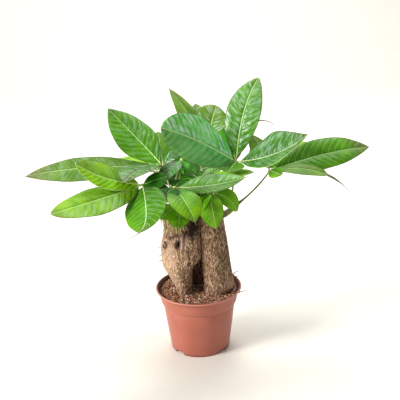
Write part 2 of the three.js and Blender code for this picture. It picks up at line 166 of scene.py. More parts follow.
def rod(line: np.ndarray, radius: np.ndarray | float, sides: int = 12) -> np.ndarray:
    """Rings of a round rod along a line.

    The ring at each point stands square to the line: its two directions are the cross products of the
    line's direction with the axis that the line follows least, and of the direction with that product.

    Args:
        line: points as an array (points, 3).
        radius: one radius, or one for each point.
        sides: points in a ring.

    Returns:
        An array (points, sides, 3).
    """
    ahead = np.gradient(line, axis=0)
    ahead /= np.linalg.norm(ahead, axis=1, keepdims=True)
    away = np.eye(3)[np.abs(ahead.mean(0)).argmin()]
    side = np.cross(ahead, away)
    side /= np.linalg.norm(side, axis=1, keepdims=True)
    other = np.cross(ahead, side)
    angle = np.linspace(0, TURN, sides, endpoint=False)[None, :, None]
    reach = np.broadcast_to(radius, len(line))[:, None, None]
    return line[:, None] + reach * (np.cos(angle) * side[:, None] + np.sin(angle) * other[:, None])


def bezier(start: Any, middle: Any, end: Any, count: int) -> np.ndarray:
    """Points of the curve (1 - t)² start + 2 t (1 - t) middle + t² end, at equal steps of t."""
    t = np.linspace(0, 1, count)[:, None]
    return (1 - t) ** 2 * np.array(start) + 2 * t * (1 - t) * np.array(middle) + t**2 * np.array(end)


def painted(colour: Colour, shape: tuple[int, ...]) -> np.ndarray:
    """The colour at each point of a grid of that shape."""
    return np.broadcast_to(np.array(colour), shape + (4,))


def make_piece(name: str, surfaces: list[Surface], finishes: list[bpy.types.Material]) -> bpy.types.Object:
    """Puts closed surfaces into one object that rides on the plant's body.

    Args:
        name: the object's name.
        surfaces: its surfaces, in millimetres.
        finishes: the materials that the surfaces' slots name.

    Returns:
        The object, at the origin, with its place in its mesh.
    """
    first = np.cumsum([0] + [len(s.points) for s in surfaces])
    quads = np.concatenate([s.quads + at for s, at in zip(surfaces, first)])
    triangles = np.concatenate([s.triangles + at for s, at in zip(surfaces, first)])
    corners = np.concatenate([quads.ravel(), triangles.ravel()]).astype(np.int32)
    starts = np.concatenate([np.arange(len(quads)) * 4, len(quads) * 4 + np.arange(len(triangles)) * 3])
    slots = np.concatenate([np.full(len(s.quads), s.slot) for s in surfaces]
                           + [np.full(len(s.triangles), s.slot) for s in surfaces])
    mesh = bpy.data.meshes.new(name)
    mesh.vertices.add(first[-1])
    points = np.concatenate([s.points for s in surfaces]) * MM
    mesh.vertices.foreach_set("co", points.astype(np.float32).ravel())
    mesh.loops.add(len(corners))
    mesh.loops.foreach_set("vertex_index", corners)
    mesh.polygons.add(len(starts))
    mesh.polygons.foreach_set("loop_start", starts.astype(np.int32))
    mesh.polygons.foreach_set("material_index", slots.astype(np.int32))
    mesh.polygons.foreach_set("use_smooth", np.ones(len(starts), bool))
    mesh.update(calc_edges=True)
    for key, width in {k: v.shape[1] for s in surfaces for k, v in s.values.items()}.items():
        kind, into = ("FLOAT_COLOR", "color") if width == 4 else ("FLOAT", "value")
        filled = [s.values.get(key, np.zeros((len(s.points), width))) for s in surfaces]
        layer = mesh.attributes.new(key, kind, "POINT")
        layer.data.foreach_set(into, np.concatenate(filled).astype(np.float32).ravel())
    for finish in finishes:
        mesh.materials.append(finish)
    piece = bpy.data.objects.new(name, mesh)
    bpy.context.scene.collection.objects.link(piece)
    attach(piece, BODY)
    log.info("%s: %d faces", name, len(starts))
    return piece


class Graph:
    """Adds nodes to one node tree. A socket given as an input is joined, and anything else is set."""

    def __init__(self, tree: bpy.types.NodeTree) -> None:
        """Keeps the tree that the nodes go into."""
        self.tree = tree

    def add(self, kind: str, inputs: dict[str | int, Any] | None = None, **settings: Any) -> bpy.types.Node:
        """Adds a node.

        Args:
            kind: the node's type.
            inputs: what each of its sockets gets.
            settings: its properties.

        Returns:
            The node.
        """
        node = self.tree.nodes.new(kind)
        for key, value in settings.items():
            setattr(node, key, value)
        for key, value in (inputs or {}).items():
            if isinstance(value, bpy.types.NodeSocket):
                self.tree.links.new(value, node.inputs[key])
            else:
                node.inputs[key].default_value = value
        return node

    def math(self, operation: str, first: Any, second: Any = 0.0, third: Any = 0.0) -> bpy.types.NodeSocket:
        """The result of a Math node."""
        return self.add("ShaderNodeMath", {0: first, 1: second, 2: third}, operation=operation).outputs[0]

    def times(self, first: Any, second: Any) -> bpy.types.NodeSocket:
        """The product of two values."""
        return self.math("MULTIPLY", first, second)

    def blend(self, share: Any, first: Any, second: Any, how: str = "MIX") -> bpy.types.NodeSocket:
        """A blend of two colours by a share from 0 to 1."""
        inputs = {0: share, 6: first, 7: second}
        return self.add("ShaderNodeMix", inputs, data_type="RGBA", blend_type=how).outputs[2]

    def tint(self, mask: Any, most: float, under: Any, colour: Any,
             how: str = "MIX") -> bpy.types.NodeSocket:
        """A colour laid over another by `most` where the mask is 1."""
        return self.blend(self.times(mask, most), under, colour, how)

    def band(self, value: Any, low: float, high: float, start: float = 0.0,
             end: float = 1.0) -> bpy.types.NodeSocket:
        """A smooth step of the value from `start` at `low` to `end` at `high`."""
        inputs = {"Value": value, "From Min": low, "From Max": high, "To Min": start, "To Max": end}
        return self.add("ShaderNodeMapRange", inputs, interpolation_type="SMOOTHSTEP").outputs[0]

    def attribute(self, name: str, output: str = "Fac") -> bpy.types.NodeSocket:
        """An attribute of the piece's own mesh."""
        return self.add("ShaderNodeAttribute", attribute_name=name).outputs[output]

    def place(self, stretch: tuple[float, float, float] = (1.0, 1.0, 1.0)) -> bpy.types.NodeSocket:
        """Object coordinates, stretched along each axis."""
        spot = self.add("ShaderNodeTexCoord").outputs["Object"]
        return self.add("ShaderNodeMapping", {"Vector": spot, "Scale": stretch}).outputs[0]

    def ramp(self, value: Any, stops: dict[float, Colour]) -> bpy.types.NodeSocket:
        """The colour of a value on a scale of colours."""
        node = self.add("ShaderNodeValToRGB", {0: value})
        scale = node.color_ramp.elements
        while len(scale) < len(stops):
            scale.new(0.5)
        for stop, (at, colour) in zip(scale, sorted(stops.items())):
            stop.position = at
            stop.color = colour
        return node.outputs[0]


def make_group(name: str, inputs: dict[str, float | None]) -> tuple[Graph, bpy.types.Node, bpy.types.Node]:
    """A node group with one output named Mask.

    Args:
        name: the group's name.
        inputs: each input's name and value; None makes it a vector.

    Returns:
        The group's graph, its input node and its output node.
    """
    tree = bpy.data.node_groups.new(name, "ShaderNodeTree")
    for key, value in inputs.items():
        kind = "NodeSocketVector" if value is None else "NodeSocketFloat"
        socket = tree.interface.new_socket(key, in_out="INPUT", socket_type=kind)
        if value is not None:
            socket.default_value = value
    tree.interface.new_socket("Mask", in_out="OUTPUT", socket_type="NodeSocketFloat")
    graph = Graph(tree)
    return graph, graph.add("NodeGroupInput"), graph.add("NodeGroupOutput")


def mottle_group() -> bpy.types.NodeTree:
    """Cloudy unevenness: layered noise, stepped smoothly from 0 at Low to 1 at High."""
    sockets = {"Vector": None, "Scale": 50.0, "Detail": 3.0, "Low": 0.35, "High": 0.65}
    graph, given, result = make_group("Mottle", sockets)
    inputs = {key: given.outputs[key] for key in ("Vector", "Scale", "Detail")}
    clouds = graph.add("ShaderNodeTexNoise", inputs).outputs[0]
    step = {"Value": clouds, "From Min": given.outputs["Low"], "From Max": given.outputs["High"]}
    mask = graph.add("ShaderNodeMapRange", step, interpolation_type="SMOOTHSTEP").outputs[0]
    graph.tree.links.new(mask, result.inputs["Mask"])
    return graph.tree


def fleck_group() -> bpy.types.NodeTree:
    """Scattered flecks: round cells of which the given Share is marked, each fading out at Size."""
    graph, given, result = make_group("Flecks", {"Vector": None, "Scale": 300.0, "Share": 0.2, "Size": 0.4})
    cells = graph.add("ShaderNodeTexVoronoi", {key: given.outputs[key] for key in ("Vector", "Scale")})
    draw = graph.add("ShaderNodeSeparateColor", {0: cells.outputs["Color"]}).outputs[0]
    chosen = graph.math("LESS_THAN", draw, given.outputs["Share"])
    fade = {"Value": cells.outputs["Distance"], "From Min": given.outputs["Size"], "From Max": 0.0}
    near = graph.add("ShaderNodeMapRange", fade, interpolation_type="SMOOTHSTEP").outputs[0]
    graph.tree.links.new(graph.times(chosen, near), result.inputs["Mask"])
    return graph.tree


class Finishes:
    """The materials of the plant, its pot and its peat, and the two effects that they share."""

    def __init__(self) -> None:
        """Makes the shared effects and then each material."""
        self.mottle = mottle_group()
        self.flecks = fleck_group()
        self.blade = self.leaf_blade()
        self.stalk = self.leaf_stalk()
        self.bark = self.stump_bark()
        self.clay = self.pot_plastic()
        self.peat = self.moist_peat()
        self.grit = self.white_grit()

    def effect(self, graph: Graph, tree: bpy.types.NodeTree, **inputs: Any) -> bpy.types.NodeSocket:
        """Places a shared effect in a material and returns its mask."""
        node = graph.add("ShaderNodeGroup", node_tree=tree)
        for key, value in inputs.items():
            socket = node.inputs[key.capitalize()]
            if isinstance(value, bpy.types.NodeSocket):
                graph.tree.links.new(value, socket)
            else:
                socket.default_value = value
        return node.outputs["Mask"]

    def clouds(self, graph: Graph, vector: Any, scale: float, **band: float) -> bpy.types.NodeSocket:
        """The mask of the cloudy unevenness in a material."""
        return self.effect(graph, self.mottle, vector=vector, scale=scale, **band)

    def specks(self, graph: Graph, vector: Any, scale: float, **band: float) -> bpy.types.NodeSocket:
        """The mask of the scattered flecks in a material."""
        return self.effect(graph, self.flecks, vector=vector, scale=scale, **band)

    def start(self, name: str, **sockets: Any) -> tuple[bpy.types.Material, Graph, bpy.types.Node]:
        """A material with one surface shader, whose plain values are set on its own sockets."""
        material = bpy.data.materials.new(name)
        material.use_nodes = True
        shader = material.node_tree.nodes["Principled BSDF"]
        for key, value in sockets.items():
            shader.inputs[key.replace("_", " ")].default_value = value
        return material, Graph(material.node_tree), shader

    def connect(self, graph: Graph, shader: bpy.types.Node, height: Any, depth: float,
                **sockets: Any) -> None:
        """Joins values that vary over the surface to the shader, and a height to its normal.

        Args:
            graph: the material's nodes.
            shader: its surface shader.
            height: relief from 0 to 1.
            depth: that relief in metres.
            sockets: what goes into each socket.
        """
        for key, value in sockets.items():
            graph.tree.links.new(value, shader.inputs[key.replace("_", " ")])
        bump = graph.add("ShaderNodeBump", {"Height": height, "Distance": depth})
        graph.tree.links.new(bump.outputs[0], shader.inputs["Normal"])

    def leaf_blade(self) -> bpy.types.Material:
        """Waxy leaf: tone, pale midrib and veins, painted reflections and shade between them, brown margin.
        """
        material, graph, shader = self.start("leaf_blade", Specular_IOR_Level=0.04, Coat_Roughness=0.22)
        place = graph.place()
        phase, reach, painted_sheen = graph.attribute("vein"), graph.attribute("reach"), graph.attribute("painted_sheen")
        off_vein = graph.math("PINGPONG", phase, 0.5)
        vein = graph.band(off_vein, 0.08, 0.015)
        rib = graph.band(graph.attribute("rib"), 0.9, 0.3)
        edge = graph.band(graph.attribute("edge"), 1.1, 0.35)
        fine = self.clouds(graph, place, 700.0, detail=2.0, low=0.4, high=0.65)
        cloud = self.clouds(graph, place, 55.0, detail=4.0, low=0.38, high=0.62)
        furrow = graph.times(graph.band(off_vein, 0.24, 0.07), graph.band(cloud, 0.0, 1.0, 0.35, 1.0))
        # painted reflection: pale mint streaks between the veins, where a quilted blade mirrors a bright
        # window
        along_veins = graph.add("ShaderNodeCombineXYZ", {0: phase, 1: reach, 2: painted_sheen}).outputs[0]
        streak = self.clouds(graph, along_veins, 2.6, detail=3.0, low=0.46, high=0.62)
        between = graph.math("SUBTRACT", streak, graph.times(furrow, 0.55))
        painted_reflection = graph.times(graph.math("MAXIMUM", between, 0.0), painted_sheen)
        tone = graph.attribute("tone", "Color")
        deep = graph.tint(cloud, 0.45, tone, srgb(150, 196, 110), "MULTIPLY")
        deep = graph.tint(fine, 0.25, deep, srgb(130, 180, 90), "MULTIPLY")
        # painted shade: the furrows beside the veins are darkened, more where reflections are painted
        shaded = graph.times(furrow, graph.math("MULTIPLY_ADD", painted_sheen, 0.5, 0.07))
        deep = graph.blend(shaded, deep, srgb(110, 160, 120), "MULTIPLY")
        veined = graph.blend(graph.times(vein, graph.attribute("veins")), deep, srgb(148, 192, 100))
        with_reflection = graph.blend(painted_reflection, veined, srgb(196, 228, 208))
        ribbed = graph.tint(rib, 0.85, with_reflection, graph.attribute("midrib", "Color"))
        lit = graph.blend(graph.times(edge, graph.attribute("light_edge")), ribbed, srgb(206, 228, 150))
        margin = graph.blend(graph.times(edge, graph.attribute("dark_edge")), lit, srgb(88, 74, 52))
        dried = graph.blend(graph.attribute("dry"), margin, srgb(104, 84, 74))
        rough = graph.math("MULTIPLY_ADD", cloud, 0.14, 0.42)
        height = graph.math("SUBTRACT", graph.times(fine, 0.2), graph.times(furrow, 0.5))
        self.connect(graph, shader, height, 0.0007, Base_Color=dried, Roughness=rough,
                     Coat_Weight=graph.attribute("gloss"))
        return material

    def leaf_stalk(self) -> bpy.types.Material:
        """Green stalks, browner with age and straw-coloured when dry, with fine streaks and pale pores."""
        material, graph, shader = self.start("leaf_stalk", Specular_IOR_Level=0.4)
        streak = self.clouds(graph, graph.place((1, 1, 0.2)), 620.0, detail=3.0, low=0.3, high=0.7)
        pores = self.specks(graph, graph.place(), 650.0, share=0.25, size=0.35)
        young = graph.blend(streak, srgb(140, 172, 72), srgb(186, 208, 118))
        old = graph.blend(streak, srgb(58, 44, 33), srgb(108, 92, 70))
        base = graph.blend(graph.attribute("age"), young, old)
        base = graph.tint(pores, 0.6, base, srgb(190, 180, 140))
        base = graph.blend(graph.attribute("dry"), base, srgb(208, 192, 132))
        rough = graph.band(streak, 0, 1, 0.45, 0.6)
        self.connect(graph, shader, streak, 0.0004, Base_Color=base, Roughness=rough)
        return material

    def stump_bark(self) -> bpy.types.Material:
        """Grey-brown bark in fine upright streaks of dark, gold and grey, with scars, moss and a dry cut.

        Some dark patches are painted shade, and pale patches on the left stump's lit side are partly
        painted light.
        """
        material, graph, shader = self.start("stump_bark", Specular_IOR_Level=0.25)
        upright = graph.place((1, 1, 0.36))
        coarse = self.clouds(graph, upright, 600.0, detail=6.0, low=0.4, high=0.6)
        fine = self.clouds(graph, upright, 1100.0, detail=3.0, low=0.36, high=0.66)
        broad = self.clouds(graph, graph.place(), 45.0, detail=3.0, low=0.36, high=0.66)
        gold = self.specks(graph, upright, 520.0, share=0.3, size=0.7)
        dark = self.specks(graph, upright, 560.0, share=0.36, size=0.75)
        brown = graph.ramp(coarse, {0.0: srgb(66, 44, 32), 0.4: srgb(156, 122, 96), 0.75: srgb(220, 186, 150),
                                    1.0: srgb(250, 228, 196)})
        brown = graph.tint(fine, 0.4, brown, srgb(232, 204, 172))
        brown = graph.tint(gold, 0.65, brown, srgb(212, 168, 94))
        brown = graph.tint(dark, 0.85, brown, srgb(56, 36, 27))
        brown = graph.tint(broad, 0.3, brown, srgb(150, 118, 100))
        toned = graph.blend(1.0, brown, graph.attribute("tone", "Color"), "MULTIPLY")
        # pale patches: the dry cut and pale roots, and partly painted light on the left stump's lit side
        smooth = graph.tint(graph.attribute("pale"), 0.5, toned, srgb(226, 190, 156))
        mossy = graph.blend(graph.times(graph.attribute("moss"), coarse), smooth, srgb(98, 104, 52))
        pink = graph.blend(graph.attribute("pink"), mossy, srgb(228, 184, 172))
        # dark scars, and painted shade where the stumps lie in the shade of leaves and of each other
        scarred_and_shaded = graph.blend(graph.attribute("scar_and_shade"), pink, srgb(52, 34, 26))
        height = graph.math("ADD", coarse, graph.times(fine, 0.5))
        rough = graph.band(coarse, 0, 1, 0.95, 0.78)
        self.connect(graph, shader, height, 0.0011, Base_Color=scarred_and_shaded, Roughness=rough)
        return material

    def pot_plastic(self) -> bpy.types.Material:
        """Terracotta-coloured moulded plastic, faintly cloudy, with specks of dust.

        The inner wall has painted shade, and the lip and the step have painted highlights.
        """
        material, graph, shader = self.start("pot_plastic", Specular_IOR_Level=0.3)
        place = graph.place()
        cloud = self.clouds(graph, place, 26.0, detail=4.0, low=0.3, high=0.7)
        grain = self.clouds(graph, place, 1500.0, detail=2.0, low=0.3, high=0.7)
        dust = self.specks(graph, place, 260.0, share=0.1, size=0.3)
        base = graph.blend(cloud, srgb(164, 92, 75), srgb(175, 102, 85))
        base = graph.tint(dust, 0.2, base, srgb(216, 170, 150))
        # painted shade on the inner wall above the peat
        inside = graph.tint(graph.attribute("inside"), 0.9, base, srgb(78, 42, 31))
        # painted highlights along the top of the lip and on the step
        painted_highlight = graph.tint(graph.attribute("painted_highlight"), 0.35, inside, srgb(222, 160, 142))
        rough = graph.band(cloud, 0, 1, 0.36, 0.46)
        self.connect(graph, shader, grain, 0.00006, Base_Color=painted_highlight, Roughness=rough)
        return material

    def moist_peat(self) -> bpy.types.Material:
        """Crumbly peat and coir, each crumb with a tone of its own."""
        material, graph, shader = self.start("moist_peat", Specular_IOR_Level=0.3)
        crumb = self.clouds(graph, graph.place(), 1100.0, detail=4.0, low=0.3, high=0.7)
        base = graph.tint(crumb, 0.3, graph.attribute("tone", "Color"), srgb(150, 96, 74))
        rough = graph.band(crumb, 0, 1, 0.95, 0.8)
        self.connect(graph, shader, crumb, 0.0006, Base_Color=base, Roughness=rough)
        return material

    def white_grit(self) -> bpy.types.Material:
        """Chalky white grit with small grey pits."""
        material, graph, shader = self.start("white_grit", Specular_IOR_Level=0.3)
        pits = self.clouds(graph, graph.place(), 1600.0, detail=3.0, low=0.3, high=0.7)
        base = graph.blend(pits, srgb(232, 226, 218), srgb(252, 250, 246))
        rough = graph.band(pits, 0, 1, 0.9, 0.8)
        self.connect(graph, shader, pits, 0.0003, Base_Color=base, Roughness=rough)
        return material


@dataclass(frozen=True)
class Leaflet:
    """One leaflet of a compound leaf.

    It leaves the hub at an azimuth from +X and a rise, loses `droop` of that rise on its way to the tip,
    turns sideways by `bend`, curls sideways by `hook` near its tip, and rolls about its midrib by `roll` at
    the hub and `twist` more at the tip. `fold` lifts its halves, `skew` widens one of them, `tail` is the
    share of its length that is tail, and `pointing` says how evenly it narrows. `quilt` and `ruffle` scale
    its relief and the waves of its margins. `painted_sheen` is the share of painted reflections, pale
    streaks, on its right and left half, and `lit` the painted light and shade of those halves, a factor on
    their colour. `light` is the side with a pale margin (-1 right, 1 left), `dry` how brown its tip is,
    and `taper` the half width of its tail where that leaves the blade.
    """

    azimuth: float
    rise: float
    length: float
    width: float
    tone: Tone
    droop: float = 0.0
    bend: float = 0.0
    hook: float = 0.0
    roll: float = 0.0
    twist: float = 0.0
    fold: float = 0.22
    skew: float = 0.0
    tail: float = 0.0
    taper: float = 0.0
    pointing: float = 0.78
    quilt: float = 0.6
    ruffle: float = 1.0
    painted_sheen: tuple[float, float] = (0.02, 0.02)
    lit: tuple[float, float] = (1.0, 1.0)
    light: int = 0
    dry: float = 0.25

    STALK = 0.05
    WIDEST = 0.52
    CURL = 0.18
    HALVES = 13
    MARGIN_POWER = 5.0
    SPACING = (4.6, 9.0)
    HALF_THICK = 0.24
    STALK_THICK = 0.5
    KEEL = 0.75
    GROOVE = 0.4

    def midrib(self, hub: np.ndarray, count: int) -> tuple[np.ndarray, ...]:
        """The midrib's line and directions.

        The rise at a share s of the length is rise - droop * s ** 1.5 and the azimuth is
        azimuth + bend * s + hook * s ** 6; the line is the sum of those directions times the length.

        Args:
            hub: where the leaflet starts.
            count: how many points of the line are wanted.

        Returns:
            The shares, the points, and the across and outward directions at them.
        """
        share = np.linspace(0, 1, count)
        up = np.radians(self.rise - self.droop * share**1.5)
        turn = np.radians(self.azimuth + self.bend * share + self.hook * share**6)
        ahead = np.stack([np.cos(up) * np.cos(turn), np.cos(up) * np.sin(turn), np.sin(up)], axis=1)
        steps = (ahead[1:] + ahead[:-1]) / 2 * self.length / (count - 1)
        points = hub + np.concatenate([np.zeros((1, 3)), np.cumsum(steps, axis=0)])
        level = np.stack([-np.sin(turn), np.cos(turn), np.zeros(count)], axis=1)
        upright = np.cross(ahead, level)
        lean = np.radians(self.roll + self.twist * share)[:, None]
        across = level * np.cos(lean) + upright * np.sin(lean)
        outward = upright * np.cos(lean) - level * np.sin(lean)
        return share, points, across, outward

    def half_width(self, share: np.ndarray) -> np.ndarray:
        """Half width at a share of the length.

        With u from 0 at the end of the stalk to 1 where the tail starts, it is u ** p * (1 - u) ** pointing
        over its peak. A tail narrows with the square of what is left of it.
        """
        u = np.clip((share - self.STALK) / (1 - self.tail - self.STALK), 0, 1)
        opening = self.pointing * self.WIDEST / (1 - self.WIDEST)
        peak = self.WIDEST**opening * (1 - self.WIDEST) ** self.pointing
        blade = self.width / 2 * u**opening * (1 - u) ** self.pointing / peak
        left = np.where(share > 0.5, np.clip((1 - share) / max(1.15 * self.tail, 0.01), 0, 1), 0)
        return np.maximum(blade, 0.8 - 0.4 * share + self.taper * left**2)

    def vein_count(self, share: np.ndarray, side: np.ndarray, half: np.ndarray) -> np.ndarray:
        """Side veins passed on the way out.

        They stand length / 12.5 apart, within SPACING, leave the midrib slanting forwards and curve on
        near the margin.
        """
        spacing = np.clip(self.length / 12.5, *self.SPACING)
        forward = np.abs(side) * half * 0.62 + 0.2 * half * np.abs(side) ** 3
        return (share * self.length - forward) / spacing + 0.22 * np.tanh(8 * side)

    def surface(self, hub: np.ndarray, seed: int) -> Surface:
        """The blade: a folded, curled sheet, full between its veins and waved along its margins.

        Both faces stand half a thickness off the middle sheet, which is 0 at the margins, so that they
        meet there; the underside also carries the midrib as a keel that thins towards the tip.

        Args:
            hub: where the leaflet starts.
            seed: the seed of its unevenness.

        Returns:
            The closed surface with its tone, gloss and vein attributes.
        """
        share, points, across, outward = self.midrib(hub, max(int(self.length), 34))
        spread = (1 - np.cos(np.pi * np.linspace(0, 1, self.HALVES + 1))) / 2
        over = np.concatenate([spread[::-1], -spread[1:]])
        side = np.concatenate([over, over[-2:0:-1]])[None, :]
        upper = np.concatenate([np.ones(len(over)), -np.ones(len(over) - 2)])[None, :]
        s = share[:, None]
        half = self.half_width(s)
        uneven = half * (1 + self.skew * side)
        reach = np.abs(side) * half
        open_blade = np.clip(half / 8, 0, 1)

        vein = self.vein_count(s, side, half)
        gap = np.abs(vein - np.round(vein))
        panel = 1 - swell(gap / 0.2)
        inner = 1 - swell(reach / 2.4)
        outer = 1 - np.abs(side) ** self.MARGIN_POWER
        puff = 0.7 + 0.5 * noise(vein * 1.1 + 9, reach / 5 + 20, seed + 1)
        dents = 0.004 * self.width * noise(vein * 2.3 + 5, reach / 3.2 + 4, seed + 4)
        relief = self.quilt * (0.014 * self.width * panel * puff + dents) * inner * outer * open_blade
        groove = -self.GROOVE * swell(reach / 0.9) * open_blade
        turns = max(self.length / 48, 1.0)
        wave = np.sin(TURN * (turns * s + 0.13 * seed) + 1.4 * np.sign(side))
        wave = wave + 0.5 * noise(s * 5, side + 3, seed + 2)
        wave = self.ruffle * 0.013 * self.width * wave * np.abs(side) ** 3 * np.sin(np.pi * s) ** 0.6
        lift = uneven * (self.fold * np.abs(side) - self.CURL * side**2) + relief + groove + wave

        thick = self.HALF_THICK + self.STALK_THICK * swell(s / 0.07)
        body = np.sqrt(np.clip(1 - side**2, 0, 1)) * thick
        keel = self.KEEL * (1 - 0.75 * s) * swell(reach / (1.1 - 0.5 * s))
        lift = lift + np.where(upper > 0, body, -body - keel)
        sideways = across[:, None] * (uneven * side)[..., None]
        rings = points[:, None] + sideways + outward[:, None] * lift[..., None]
        return tube(rings, self.values(s, side, upper, half, vein, seed))

    def values(self, s: np.ndarray, side: np.ndarray, upper: np.ndarray, half: np.ndarray, vein: np.ndarray,
               seed: int) -> dict[str, np.ndarray]:
        """The blade's attributes: tone, gloss, sheen, veins, margins and dryness at each point.

        The tone goes from base to tip colour along the leaflet and a little towards its margins. Each half is
        then multiplied by its `lit` factor, painted light and shade, and the midrib by the mean of the two.
        """
        colour = self.tone.value
        far = np.clip(s * 1.1 + 0.25 * np.abs(side) - 0.15, 0, 1)[..., None]
        top = np.array(colour.base) * (1 - far) + np.array(colour.tip) * far
        tone = np.where(upper[..., None] > 0, top, np.array(colour.under))
        left = 0.5 + 0.5 * np.tanh(10 * side)
        # painted light and shade: each half's colour is multiplied by that half's lit factor
        lit = self.lit[0] * (1 - left) + self.lit[1] * left
        tone = tone * (lit * (1 + 0.16 * noise(s * 5, side * 1.5 + 30, seed + 3)))[..., None]
        reach = np.abs(side) * half
        same = np.ones_like(reach)
        # where the painted reflections go: each half's share, kept off the midrib and the margin
        halves = np.where(side < 0, *self.painted_sheen) * np.clip(reach / 3, 0, 1)
        halves = halves * np.clip((half - reach) / 3, 0, 1)
        light = 0.85 * (side * self.light > 0)
        near = swell(s / 0.22)[..., None]
        outer_rib = np.array(srgb(208, 236, 168))
        ribs = near * np.array(srgb(214, 236, 144)) + (1 - near) * (0.12 * tone + 0.88 * outer_rib)
        return {
            "tone": tone,
            # the midrib gets the mean painted light and shade of the two halves
            "midrib": np.clip(ribs * np.clip(sum(self.lit) / 2, 0.4, 1.5), 0, 0.95),
            "vein": vein + seed % 50,
            "reach": reach / 26,
            "rib": reach / (0.45 + 0.014 * self.width - 0.5 * s + swell(s / 0.06)),
            "edge": (half - reach) * same,
            "gloss": np.where(upper > 0, colour.gloss, 0.3 * colour.gloss) * same,
            "veins": np.where(upper > 0, colour.veins, 0.8 * colour.veins) * same,
            "painted_sheen": np.where(upper > 0, halves, 0.15 * halves),
            "light_edge": light * same,
            "dark_edge": (0.75 - light) * same,
            "dry": np.clip(self.dry * (4 * s - 3) + (s > 0.5) * 0.9 * (half < self.taper), 0, 0.9) * same,
        }


SHOOTS = {
    "left": ((-28, -9, 205), (-31, -11, 222), (-29, -13, 240), 5.0, 3.2),
    "right": ((31, -8, 197), (44, -8, 200), (57, -8, 214), 5.2, 2.8),
    "middle": ((17, -14, 206), (15, -18, 217), (18, -22, 230), 4.0, 2.8),
    "back": ((-1, 23, 210), (0, 26, 230), (5, 30, 252), 4.6, 3.0),
}


@dataclass(frozen=True)
class CompoundLeaf:
    """A petiole with its leaflets spread round one hub."""

    shoot: str
    up: float
    through: Spot
    hub: Spot
    leaflets: tuple[Leaflet, ...]
    age: float = 0.15

    PETIOLE = 1.35
    FOOT = 2.3
    KNOT = 2.5

    def foot(self) -> np.ndarray:
        """Where the petiole leaves the middle of its shoot."""
        start, middle, end, _, _ = (np.array(v) for v in SHOOTS[self.shoot])
        t = self.up
        return (1 - t) ** 2 * start + 2 * t * (1 - t) * middle + t**2 * end

    def petiole(self) -> Surface:
        """Rod that swells at the shoot, as exp(-(s / 0.14)²), and again at the hub."""
        line = bezier(self.foot(), self.through, self.hub, 42)
        s = np.linspace(0, 1, len(line))
        radius = self.PETIOLE * (1 - 0.12 * s) + (self.FOOT - self.PETIOLE) * swell(s / 0.14)
        radius = radius + (self.KNOT - self.PETIOLE) * swell((1 - s) / 0.05) * 0.6
        rings = rod(line, radius, 14)
        age = self.age * (1 - swell((1 - s) / 0.16)) + 0.5 * swell(s / 0.18)
        return tube(rings, {"age": np.broadcast_to(age[:, None], rings.shape[:2])}, slot=1)

    def knot(self) -> Surface:
        """The hub: a ball a little lower than wide."""
        angle = np.linspace(0.06, np.pi - 0.06, 14)
        line = np.array(self.hub) + np.outer(-np.cos(angle) * self.KNOT * 0.8, (0, 0, 1))
        rings = rod(line, self.KNOT * np.sin(angle), 18)
        return tube(rings, {"age": np.zeros(rings.shape[:2])}, slot=1)

    def build(self, name: str, finishes: Finishes, seed: int) -> bpy.types.Object:
        """Makes the leaf in place of its solid.

        Args:
            name: the solid's name.
            finishes: the materials.
            seed: the seed of its unevenness.

        Returns:
            The leaf.
        """
        hub = np.array(self.hub, float)
        blades = [leaflet.surface(hub, seed + 10 * i) for i, leaflet in enumerate(self.leaflets)]
        surfaces = [self.petiole(), self.knot(), *blades]
        foliage = name.replace("leaf", "foliage")
        piece = make_piece(foliage, surfaces, [finishes.blade, finishes.stalk])
        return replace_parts(piece, name)


